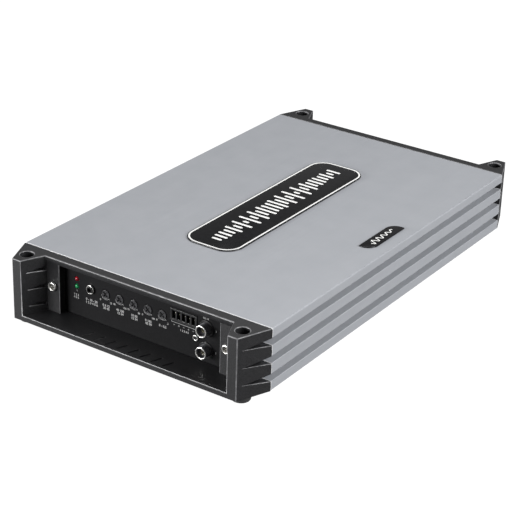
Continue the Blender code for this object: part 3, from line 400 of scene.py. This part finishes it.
def weigh_edges(mesh, width, least):
    """Weights for the edges that a bevel of this width rounds: outward ones that turn over 40 degrees.

    Edges of a face that looks down stay sharp, as at a mould's parting line, and so do edges under the top
    face that are shorter than `least`. An edge's weight is min(1, 0.4 s / width), with s the shortest edge at
    either of its ends.
    """
    body = bmesh.new()
    body.from_mesh(mesh)
    layer = body.edges.layers.float.new("bevel_weight_edge")
    top = max(vertex.co.z for vertex in body.verts) - 2 * MM
    room = {vertex: min(edge.calc_length() for edge in vertex.link_edges) / MM
            for vertex in body.verts if vertex.link_edges}
    for edge in body.edges:
        looks_down = min((face.normal.z for face in edge.link_faces), default=-1) < -0.2
        small = edge.calc_length() < least * MM and min(vertex.co.z for vertex in edge.verts) < top
        if not (edge.is_manifold and edge.is_convex) or looks_down or small:
            continue
        if edge.calc_face_angle() > math.radians(40):
            edge[layer] = min(1.0, 0.4 * min(room[vertex] for vertex in edge.verts) / width)
    body.to_mesh(mesh)
    body.free()


def piece(name, mesh, material, body="root", stands_for=(), bevel=0.0, segments=2, edge=None,
          least=0.0):
    """Puts a mesh in the scene as a piece of a body.

    bevel is the radius of its edges in millimetres, and edge is their material where it differs. Edges
    shorter than `least` stay sharp.
    """
    mesh.name = name
    mesh.materials.clear()
    mesh.materials.append(material)
    mesh.shade_smooth()
    mesh.set_sharp_from_angle(angle=math.radians(32))
    made = bpy.data.objects.new(name, mesh)
    bpy.context.scene.collection.objects.link(made)
    if bevel:
        weigh_edges(mesh, bevel, least)
        rounding = made.modifiers.new("rounded edges", "BEVEL")
        rounding.width = bevel * MM
        rounding.segments = segments
        rounding.limit_method = "WEIGHT"
        rounding.use_clamp_overlap = False            # the weights keep its faces apart instead
        shading = made.modifiers.new("flat faces shade flat", "WEIGHTED_NORMAL")
        shading.keep_sharp = True
        # the edge material is a lighter copy of the body's: it paints a highlight line along the rounded
        # edges
        if edge:
            mesh.materials.append(edge)
            rounding.material = 1
    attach(made, body)
    if stands_for:
        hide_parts(*stands_for)
    return made


def edged(node, material, bevel, segments=2, edge=None, least=0.0):
    """A CAD node with its sharp edges rounded: its triangles are merged into flat faces first."""
    mesh = frame["nodes"][node].data.copy()
    body = bmesh.new()
    body.from_mesh(mesh)
    bmesh.ops.remove_doubles(body, verts=body.verts, dist=2e-6)
    bmesh.ops.dissolve_limit(body, angle_limit=math.radians(0.5), verts=body.verts, edges=body.edges)
    body.to_mesh(mesh)
    body.free()
    return piece(f"{node}_edged", mesh, material, frame["nodes"][node]["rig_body"], (node,), bevel,
                 segments, edge, least)


def filleted(points, radius, steps=5):
    """The open profile with each inner corner replaced by a curve.

    With B and A the points that lie radius before and after a corner P, or half a side where that is less,
    the curve is (1-t)^2 B + 2 t (1-t) P + t^2 A for t from 0 to 1.
    """
    points = np.asarray(points, float)
    back, ahead = points[:-2] - points[1:-1], points[2:] - points[1:-1]
    reach = [np.minimum(radius / np.linalg.norm(side, axis=1), 0.5)[:, None] * side for side in (back, ahead)]
    corner = points[1:-1]
    t = np.linspace(0, 1, steps)[None, :, None]
    before, after = (corner + reach[0])[:, None], (corner + reach[1])[:, None]
    curve = (1 - t) ** 2 * before + 2 * t * (1 - t) * corner[:, None] + t ** 2 * after
    return np.vstack([points[:1], curve.reshape(-1, 2), points[-1:]])


def grid_mesh(points, wrap_rows=False, wrap_columns=True):
    """A sheet of quads over a (rows, columns, 3) array in millimetres, with its poles and seams merged."""
    rows, columns = points.shape[:2]
    index = np.arange(rows * columns).reshape(rows, columns)
    if wrap_rows:
        index = np.vstack([index, index[:1]])
    if wrap_columns:
        index = np.hstack([index, index[:, :1]])
    quads = np.stack([index[:-1, :-1], index[:-1, 1:], index[1:, 1:], index[1:, :-1]], -1).reshape(-1, 4)
    mesh = bpy.data.meshes.new("sheet")
    mesh.from_pydata(points.reshape(-1, 3) * MM, [], quads.tolist())
    body = bmesh.new()
    body.from_mesh(mesh)
    bmesh.ops.remove_doubles(body, verts=body.verts, dist=1e-7)
    bmesh.ops.recalc_face_normals(body, faces=body.faces)
    body.to_mesh(mesh)
    body.free()
    return mesh


def capped(mesh):
    """The mesh with its open ends closed by flat faces, and every face outwards."""
    body = bmesh.new()
    body.from_mesh(mesh)
    bmesh.ops.holes_fill(body, edges=[edge for edge in body.edges if edge.is_boundary])
    bmesh.ops.recalc_face_normals(body, faces=body.faces)
    body.to_mesh(mesh)
    body.free()
    return mesh


AXES = {
    # axis: (across, upward, along), so that a point is centre + r cos(a) across + r sin(a) upward + h along
    "front": ((1, 0, 0), (0, 0, 1), (0, -1, 0)),
    "rear": ((-1, 0, 0), (0, 0, 1), (0, 1, 0)),
    "up": ((1, 0, 0), (0, 1, 0), (0, 0, 1)),
    "down": ((1, 0, 0), (0, -1, 0), (0, 0, -1)),
}


def turned(profile, centre, axis, sides=72, ring=False, relief=None):
    """A turned surface: P(t, a) = centre + r(t) (cos a across + sin a upward) + h(t) along.

    relief(u, v, r, h) gives an extra height along the axis, where u and v are the point's place across it.
    """
    profile = np.asarray(profile, float)
    radius, height = profile[:, :1], profile[:, 1:]
    angle = np.linspace(0, 2 * np.pi, sides, endpoint=False)[None, :]
    u, v = radius * np.cos(angle), radius * np.sin(angle)
    height = np.broadcast_to(height, u.shape)
    if relief:
        height = height + relief(u, v, np.broadcast_to(radius, u.shape), height)
    across, upward, along = (np.array(axis_part, float) for axis_part in AXES[axis])
    points = np.asarray(centre, float) + u[..., None] * across + v[..., None] * upward
    return grid_mesh(points + height[..., None] * along, wrap_rows=ring)


def cross_recess(length, width, sink, slope=0.18, turn=0.0):
    """The relief of a cross-shaped driver recess, `sink` deep, with walls that slope over `slope`.

    turn is the angle of its arms in degrees. With S a clamped 3t^2 - 2t^3, an arm is
    S((length/2 - |u|) / slope) S((width/2 - |v|) / slope), and the relief is -sink times the larger arm.
    """
    def smooth(t):
        t = np.clip(t, 0, 1)
        return t * t * (3 - 2 * t)

    def relief(u, v, radius, height):
        cos, sin = math.cos(math.radians(turn)), math.sin(math.radians(turn))
        u, v = u * cos + v * sin, v * cos - u * sin
        one = smooth((length / 2 - abs(u)) / slope) * smooth((width / 2 - abs(v)) / slope)
        other = smooth((length / 2 - abs(v)) / slope) * smooth((width / 2 - abs(u)) / slope)
        return -sink * np.maximum(one, other)
    return relief


def perimeter(centre, size, radii, inset, steps=10):
    """A rounded rectangle, inset all round: corner i is its own centre + (radius_i - inset) (cos, sin)."""
    (x, y), half = centre, np.array(size) / 2
    signs = np.array([(1, 1), (-1, 1), (-1, -1), (1, -1)], float)
    radii = np.array(radii, float)[:, None]
    middle = signs * (half - radii) + np.array((x, y))
    start = np.radians([0, 90, 180, 270])[:, None]
    angle = start + np.linspace(0, np.pi / 2, steps)[None, :]
    reach = (radii - inset)[..., None]
    return (middle[:, None] + reach * np.stack([np.cos(angle), np.sin(angle)], -1)).reshape(-1, 2)


def slab(centre, size, radii, low, high, edge):
    """A rounded-rectangle plate from low to high, whose upper edge is rounded by `edge`."""
    turn = np.linspace(0, np.pi / 2, 4)
    insets = np.concatenate([[0.0], edge * (1 - np.cos(turn))])
    heights = np.concatenate([[low], high - edge + edge * np.sin(turn)])
    outlines = [perimeter(centre, size, radii, inset) for inset in insets]
    rows = [np.column_stack([outline, np.full(len(outline), height)])
            for outline, height in zip(outlines, heights)]
    return capped(grid_mesh(np.array(rows)))


def ribbon(path, width, low, high, closed=False):
    """A thin strip of even width along a flat path, from low to high: P = path +- width/2 normal."""
    path = np.asarray(path, float)
    ahead = np.roll(path, -1, 0) - np.roll(path, 1, 0)
    if not closed:
        ahead[0], ahead[-1] = path[1] - path[0], path[-1] - path[-2]
    ahead /= np.linalg.norm(ahead, axis=1)[:, None]
    normal = np.stack([-ahead[:, 1], ahead[:, 0]], -1) * width / 2
    left, right = path + normal, path - normal
    corners = [(left, low), (right, low), (right, high), (left, high)]
    rows = np.array([np.column_stack([side, np.full(len(path), height)]) for side, height in corners])
    mesh = grid_mesh(rows.transpose(1, 0, 2), wrap_rows=closed)
    return mesh if closed else capped(mesh)


def figures(text, height, centre, low, high):
    """Printed figures, standing from low to high, centred on a point of the plane that they are drawn in."""
    curve = bpy.data.curves.new("figures", "FONT")
    curve.body = text
    curve.size = height
    curve.align_x, curve.align_y = "CENTER", "CENTER"
    curve.extrude = (high - low) / 2
    curve.resolution_u = 3
    curve.offset = 0.035 * height
    holder = bpy.data.objects.new("figures", curve)
    bpy.context.scene.collection.objects.link(holder)
    bpy.context.view_layer.update()
    mesh = bpy.data.meshes.new_from_object(holder.evaluated_get(bpy.context.evaluated_depsgraph_get()))
    bpy.data.objects.remove(holder)
    mesh.transform(Matrix.Translation((*centre, (low + high) / 2)))
    mesh.transform(Matrix.Scale(MM, 4))
    return mesh


def joined(meshes, plane=None):
    """The meshes as one. plane is a 4x4 matrix that stands a flat drawing on a panel."""
    body = bmesh.new()
    for mesh in meshes:
        body.from_mesh(mesh)
    whole = bpy.data.meshes.new("joined")
    body.to_mesh(whole)
    body.free()
    if plane is not None:
        whole.transform(plane)
    return whole


def block(x, y, z):
    """A six-sided bar between two values on each axis."""
    corners = ((x[0], y[0]), (x[1], y[0]), (x[1], y[1]), (x[0], y[1]))
    return capped(grid_mesh(np.array([[(*corner, height) for corner in corners] for height in z])))


def middle(node):
    """The centre of a CAD node, and its lowest and highest corners, in millimetres."""
    low, high = (np.array(corner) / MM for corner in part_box(node))
    return (low + high) / 2, low, high


def front_of(node):
    """A round CAD node that faces the front: the middle of its face, its radius and its length."""
    centre, low, high = middle(node)
    return (centre[0], low[1], centre[2]), (high[0] - low[0]) / 2, high[1] - low[1]


def hoop(inner, outer, back, front, fillet):
    """The closed profile of a ring with a rectangular section and rounded corners."""
    corners = [(inner, back), (outer, back), (outer, front), (inner, front), (inner, back)]
    return filleted(corners, fillet)[:-1]


# ---------------------------------------------------------------- case, base and caps

edged("heatsink_shell", ALUMINIUM, 0.3)
edged("bottom_plate", STEEL, 0.25)
for cap in ("front_end_cap", "rear_end_cap"):
    # the rounded edges take the lighter nylon: a painted highlight line
    edged(cap, NYLON, 0.5, 3, NYLON_EDGE_HIGHLIGHT, 9.0)
edged("front_panel", PANEL, 0.1)
edged("rear_panel", PANEL, 0.1)


BASE_SCREW_PLACES = [(x, y) for x in (-77.0, 77.0) for y in (-143.0, -48.0, 48.0, 143.0)]
BASE_SCREW_PLACES += [(0.0, -143.0), (0.0, 143.0)]


def make_base_screws():
    """Raised countersunk screws round the base: a shallow dome, 0.45 mm proud, with a cross recess."""
    _, low, _ = middle("bottom_plate")
    edge = filleted([(0, 0.45), (2.2, 0.35), (2.9, 0.0), (2.9, -0.3), (0, -0.3)], 0.15)
    inner = np.column_stack([np.linspace(0, 2.2, 24), 0.45 - 0.1 * np.linspace(0, 1, 24) ** 2])
    profile = np.vstack([inner, edge[2:]])
    heads = [turned(profile, (x, y, low[2]), "down", 48, relief=cross_recess(2.8, 0.7, 0.35))
             for x, y in BASE_SCREW_PLACES]
    piece("base_screws", joined(heads), ZINC)


make_base_screws()


def make_cap_screws():
    """Pan-head screws: a rolled rim round a dish, in which a sloped cross recess is sunk. The head is a
    lighter copy of the nickel, a painted highlight, and the dish a darker steel, a painted shade.
    """
    for corner, axis in (("front_left", "front"), ("front_right", "front"), ("rear_left", "rear"),
                         ("rear_right", "rear")):
        node = f"end_cap_screw_{corner}"
        centre, low, high = middle(node)
        crown = low[1] if axis == "front" else high[1]
        radius = (high[0] - low[0]) / 2
        length = high[1] - low[1]
        dish = radius - 1.4
        place = (centre[0], crown, centre[2])
        profile = filleted([(0, -1.6), (dish, -1.6), (dish, -0.35), (dish + 0.35, 0), (radius - 0.45, -0.1),
                            (radius, -0.8), (radius, -1.7), (1.75, -1.7), (1.75, -length + 1),
                            (1.0, -length), (0, -length)], 0.3)
        # the head takes the lighter nickel: a painted highlight
        piece(f"{node}_head", turned(profile, place, axis, 72), NICKEL_PAINTED_HIGHLIGHT,
              stands_for=(node,))
        arc = np.linspace(0, 1, 30)
        bowl = np.column_stack([arc * (dish + 0.1), -0.55 + 0.2 * arc ** 2])
        profile = np.vstack([bowl, [(dish + 0.1, -1.65), (0, -1.65)]])
        mesh = turned(profile, place, axis, 72, relief=cross_recess(3.6, 0.95, 0.8))
        # the dish takes the darker steel: painted shade in the recess
        piece(f"{node}_dish", mesh, STEEL_PAINTED_SHADE)


make_cap_screws()


def make_feet():
    """Rubber feet: a ring with a rounded edge where it stands, and a collar that goes up into the cap."""
    for corner in ("front_left", "front_right", "rear_left", "rear_right"):
        node = f"foot_{corner}"
        centre, low, high = middle(node)
        rim, bore = (high[0] - low[0]) / 2, 2.7
        profile = filleted([(bore, 0), (rim - 0.5, 0), (rim, 0.8), (rim, 3.7), (4.4, 3.7), (4.4, 5.2),
                            (bore, 5.2), (bore, 0)], 0.4)
        mesh = turned(profile[:-1], (centre[0], centre[1], low[2]), "up", 72, ring=True)
        piece(f"{node}_turned", mesh, RUBBER, stands_for=(node,))


make_feet()


# ---------------------------------------------------------------- badges

PRINT_HEIGHT = 0.05
PRINT_DEPTH = 0.05                        # how far the print's solids reach into the lacquer


def make_name_plate():
    """The lacquered plate, with a white border line and a row of bars like a recorded wave.

    Bar i of n is 21 w (0.22 + 0.78 |sin(1.7 i + 0.6)|) long across the case, with the swell
    w = 0.55 + 0.45 sin(pi (i + 0.5) / n), which makes the middle ones longest.
    """
    centre, low, high = middle("name_plate")
    size = (high - low)[:2]
    top = high[2] - PRINT_HEIGHT
    radii = (13.0,) * 4
    piece("name_plate_lacquered", slab(centre[:2], size, radii, low[2], top, 0.25), LACQUER,
          stands_for=("name_plate",))
    line = perimeter(centre[:2], size, radii, 1.3, 14)
    border = ribbon(line, 1.15, top - PRINT_DEPTH, high[2], closed=True)
    count, pitch, width = 31, 4.9, 2.1
    order = np.arange(count)
    swell = 0.55 + 0.45 * np.sin(np.pi * (order + 0.5) / count)
    lengths = 21 * swell * (0.22 + 0.78 * abs(np.sin(1.7 * order + 0.6)))
    places = centre[1] + (order - (count - 1) / 2) * pitch
    bars = [slab((centre[0], y), (length, width), (width / 2 - 0.01,) * 4, top - PRINT_DEPTH, high[2], 0.01)
            for y, length in zip(places, lengths)]
    piece("name_plate_print", joined([border, *bars]), PRINT)


make_name_plate()


def make_series_plate():
    """The small plate, with a white sine line that dies away: x = 2.6 (1 - 0.55 t) sin(10 pi t), y = 28 t."""
    centre, low, high = middle("series_plate")
    top = high[2] - PRINT_HEIGHT
    size = (high - low)[:2]
    piece("series_plate_lacquered", slab(centre[:2], size, (0.6, 8.0, 0.6, 8.0), low[2], top, 0.2), LACQUER,
          stands_for=("series_plate",))
    t = np.linspace(0, 1, 120)
    path = np.column_stack([centre[0] + 2.6 * (1 - 0.55 * t) * np.sin(2 * np.pi * 5 * t),
                            centre[1] - 14 + 28 * t])
    piece("series_plate_print", ribbon(path, 0.75, top - PRINT_DEPTH, high[2]), PRINT)


make_series_plate()


# ---------------------------------------------------------------- control panel

def make_indicators():
    """Indicators: a dome on a short barrel, r = R cos a and h = R sin a over the dome."""
    radius = 1.5
    for node, material, slot in (("power_led", GREEN_LENS, "green_lens"),
                                 ("protect_led", RED_LENS, "red_lens")):
        place, flange, length = front_of(node)
        angle = np.linspace(0, np.pi / 2, 14)
        dome = np.column_stack([radius * np.cos(angle), -radius + radius * np.sin(angle)])[::-1]
        profile = np.vstack([dome, [(radius, -2.4), (flange, -2.4), (flange, -3.4), (radius, -3.4),
                                    (radius, -length), (0, -length)]])
        piece(f"{node}_lens", turned(profile, place, "front", 48), material, stands_for=(node,))


make_indicators()


def make_remote_jack():
    """The jack, and its round nut: a ring with rounded rims and a 5.2 mm hole."""
    edged("remote_jack", POLYMER, 0.12, 2, POLYMER_EDGE_HIGHLIGHT)
    node = "remote_jack_nut"
    place, radius, length = front_of(node)
    mesh = turned(hoop(2.6, radius, -length, 0, 0.3), place, "front", 64, ring=True)
    # the nut takes the lighter nickel: a painted highlight
    piece(f"{node}_turned", mesh, NICKEL_PAINTED_HIGHLIGHT, stands_for=(node,))


make_remote_jack()

POTS = ("bass_boost", "low_pass", "subsonic", "phase", "level")


def make_trim_pots():
    """Trim pots: the shaft's face is flat with a cross recess and a raised rim."""
    for name in POTS:
        edged(f"{name}_pot", POLYMER, 0.2, 2, POLYMER_EDGE_HIGHLIGHT)
        node = f"{name}_shaft"
        place, radius, length = front_of(node)
        face = np.column_stack([np.linspace(0, radius - 0.55, 34), np.full(34, -0.14)])
        rest = filleted([face[-1], (radius - 0.4, 0), (radius - 0.12, 0), (radius, -0.2), (radius, -2.4),
                         (1.5, -2.4), (1.5, -length), (0, -length)], 0.12)
        profile = np.vstack([face, rest[1:]])
        mesh = turned(profile, place, "front", 84, relief=cross_recess(4.6, 1.15, 1.2, turn=45))
        piece(f"{node}_turned", mesh, SHAFT_PLASTIC, body=node, stands_for=(node,))


make_trim_pots()


HEADER_PLACES = (np.arange(5) - 2) * 3.81         # its five poles, from its middle


def make_input_header():
    """The five-pole header, with a square tinned pin standing in each pocket."""
    edged("input_socket", POLYMER, 0.15, 2, POLYMER_EDGE_HIGHLIGHT)
    centre, low, high = middle("input_socket")
    rise, half = high[2] - 4.1, 0.4
    pins = [block((x - half, x + half), (low[1] + 1.9, low[1] + 7.2), (rise - half, rise + half))
            for x in centre[0] + HEADER_PLACES]
    piece("input_header_pins", joined(pins), TIN, bevel=0.12)


make_input_header()


def make_phono_jacks():
    """Phono jacks: a black-nickel shell whose lip is a lighter nickel as a painted highlight, a black insert
    and a tubular contact.
    """
    edged("phono_housing", POLYMER, 0.15, 2, POLYMER_EDGE_HIGHLIGHT)
    for side in ("left", "right"):
        node = f"phono_shell_{side}"
        place, outer, length = front_of(node)
        inner, lip = outer - 0.9, 0.55
        mesh = turned(hoop(inner, outer, -length, -lip, 0.08), place, "front", 72, ring=True)
        piece(f"{node}_barrel", mesh, BLACK_NICKEL, stands_for=(node,))
        mesh = turned(hoop(inner, outer, -lip, 0, 0.42), place, "front", 72, ring=True)
        # the lip takes the lighter nickel: a painted highlight
        piece(f"{node}_lip", mesh, NICKEL_PAINTED_HIGHLIGHT)

        node = f"phono_insert_{side}"
        place, radius, length = front_of(node)
        profile = filleted([(0, -6.0), (1.65, -6.0), (1.65, 0), (radius, 0), (radius, -length),
                            (0, -length)], 0.2)
        piece(f"{node}_moulded", turned(profile, place, "front", 60), POLYMER,
              stands_for=(node,))
        mesh = turned(hoop(1.3, 1.6, -5.5, -0.5, 0.08), place, "front", 40, ring=True)
        piece(f"phono_contact_{side}", mesh, TIN)

    place, radius, length = front_of("phono_rivet")
    profile = filleted([(0.9, -length), (1.4, -length), (1.4, -0.8), (radius, -0.8), (radius, -0.3),
                        (1.75, 0), (1.35, -0.1), (1.1, -0.7), (0.9, -0.9), (0.9, -length)], 0.25)
    mesh = turned(profile[:-1], place, "front", 48, ring=True)
    # the rolled rivet takes the lighter nickel: a painted highlight
    piece("phono_rivet_rolled", mesh, NICKEL_PAINTED_HIGHLIGHT, stands_for=("phono_rivet",))
    profile = [(0, -0.3), (1.35, -0.3), (1.35, -1.0), (0, -1.0)]
    piece("phono_rivet_bore", turned(profile, place, "front", 40), POLYMER)


make_phono_jacks()

# A drawing's x and y become the panel's X and Z, and its height stands off the panel.
FRONT_PLANE = Matrix(((1, 0, 0, 0), (0, 0, -1, 0), (0, 1, 0, 0), (0, 0, 0, 1)))
REAR_PLANE = Matrix(((-1, 0, 0, 0), (0, 0, 1, 0), (0, 1, 0, 0), (0, 0, 0, 1)))
INK_DEPTH, INK_HEIGHT = 0.02, 0.03                # how far a legend reaches into its panel and out of it


def make_front_legend():
    """Printed scales: figures beside and under each control, and plain rules under the header."""
    _, low, _ = middle("front_panel")
    sheet = (-low[1] - INK_DEPTH, -low[1] + INK_HEIGHT)
    marks = []

    def write(text, height, x, z):
        marks.append(figures(text, height, (x, z), *sheet))

    def rule(x0, z0, x1, z1, width):
        marks.append(ribbon([(x0, z0), (x1, z1)], width, *sheet))

    scales = (("0", "12", "0 6 12", "30 45"), ("40", "150", "40 150", "12 24"),
              ("10", "50", "10 50", "12 24"), ("0", "180", "0 180", "45 90"), ("8", ".2", "8 - 0.2", ""))
    for name, (least, most, line, second) in zip(POTS, scales):
        centre, _, _ = middle(f"{name}_shaft")
        x, z = centre[0], centre[2]
        write(least, 1.8, x - 4.5, z - 4.9)
        write(most, 1.8, x + 4.2, z - 5.2)
        turn = np.radians(np.linspace(195, 320, 24))
        path = np.column_stack([x + 3.75 * np.cos(turn), z + 3.75 * np.sin(turn)])
        marks.append(ribbon(path, 0.2, *sheet))
        write(line, 2.3, x + 0.2, z - 8.2)
        if second:
            write(second, 2.3, x + 0.4, z - 10.3)
        for side in (-1, 1):
            turn = math.radians(-90 + side * 42)
            cos, sin = math.cos(turn), math.sin(turn)
            rule(x + 3.9 * cos, z + 3.9 * sin, x + 4.6 * cos, z + 4.6 * sin, 0.22)

    centre, _, _ = middle("remote_jack_nut")
    write("0 - 10 - 20", 2.3, centre[0] + 0.4, centre[2] - 8.3)
    write("1 2 3 4 5 6", 2.3, centre[0] + 0.4, centre[2] - 10.5)
    centre, _, _ = middle("power_led")
    rule(centre[0], centre[2] - 2.6, centre[0], centre[2] - 3.9, 0.3)
    write("1 2 3", 2.1, centre[0] - 0.7, centre[2] - 6.4)
    write("4 5 6", 2.1, centre[0] - 0.7, centre[2] - 8.4)

    centre, _, high = middle("input_socket")
    x, z = centre[0], high[2] - 9.6
    rule(x - 9.6, z, x + 9.6, z, 0.28)
    rule(x - 9.5, z, x - 9.5, z + 0.9, 0.28)
    rule(x + 9.5, z, x + 9.5, z + 0.9, 0.28)
    for index, at in enumerate(x + HEADER_PLACES):
        rule(at - 0.6, z - 1.8, at + 0.6, z - 1.8, 0.26)
        if index % 2:
            rule(at, z - 1.2, at, z - 2.4, 0.26)
    write("1 2 3 4 5", 1.9, x + 0.6, z - 4.3)
    for side in ("left", "right"):
        centre, _, _ = middle(f"phono_shell_{side}")
        rule(centre[0] + 7.6, centre[2] - 0.7, centre[0] + 7.6, centre[2] + 0.7, 0.4)
    centre, _, _ = middle("phono_shell_left")
    write("0.2 - 8", 1.6, centre[0] - 0.4, centre[2] + 6.9)
    piece("front_legend", joined(marks, FRONT_PLANE), LEGEND)


make_front_legend()


# ---------------------------------------------------------------- terminals and fuses

def make_terminals():
    """The two terminal blocks with their clamps, and the fuse holder with its two fuses."""
    for node in ("power_terminal_block", "speaker_terminal_block", "fuse_holder"):
        edged(node, POLYMER, 0.3, 3)
    for pole in ("battery", "ground", "remote", "speaker_plus", "speaker_minus"):
        for part in ("screw", "pad"):
            edged(f"{pole}_clamp_{part}", NICKEL, 0.15)
    for index in (1, 2):
        edged(f"blade_fuse_{index}", AMBER, 0.4, 3)


make_terminals()


REAR_LEGEND_RISE = 39.4


def make_rear_legend():
    """Signs above the terminals: a plus, a minus and plain figures."""
    _, _, high = middle("rear_panel")
    sheet = (high[1] - INK_DEPTH, high[1] + INK_HEIGHT)
    marks = []

    def rule(x0, z0, x1, z1, width=0.5):
        marks.append(ribbon([(-x0, z0), (-x1, z1)], width, *sheet))

    for pole, sign in (("battery", "+"), ("ground", "-"), ("remote", "1"), ("speaker_plus", "+"),
                       ("speaker_minus", "-")):
        centre, _, _ = middle(f"{pole}_clamp_screw")
        x, z = centre[0], REAR_LEGEND_RISE
        if sign == "1":
            marks.append(figures("1", 3.0, (-x, z), *sheet))
            continue
        rule(x - 1.3, z, x + 1.3, z)
        if sign == "+":
            rule(x, z - 1.3, x, z + 1.3)
    for index in (1, 2):
        centre, _, _ = middle(f"blade_fuse_{index}")
        marks.append(figures("40", 2.6, (-centre[0], REAR_LEGEND_RISE), *sheet))
    piece("rear_legend", joined(marks, REAR_PLANE), LEGEND)


make_rear_legend()


# ---------------------------------------------------------------- boards and what stands on them

def finish_insides():
    """The parts inside keep their CAD shapes and take their finishes."""
    finishes = {"main_board": LAMINATE, "control_board": LAMINATE, "power_transformer": COPPER,
                "output_inductor": COPPER, "transistor_clamp_bar": ZINC, "capacitor_1": SLEEVE,
                "capacitor_2": SLEEVE, "capacitor_3": SLEEVE}
    for node, material in finishes.items():
        mesh = frame["nodes"][node].data
        for index in range(len(mesh.materials)):
            mesh.materials[index] = material


finish_insides()
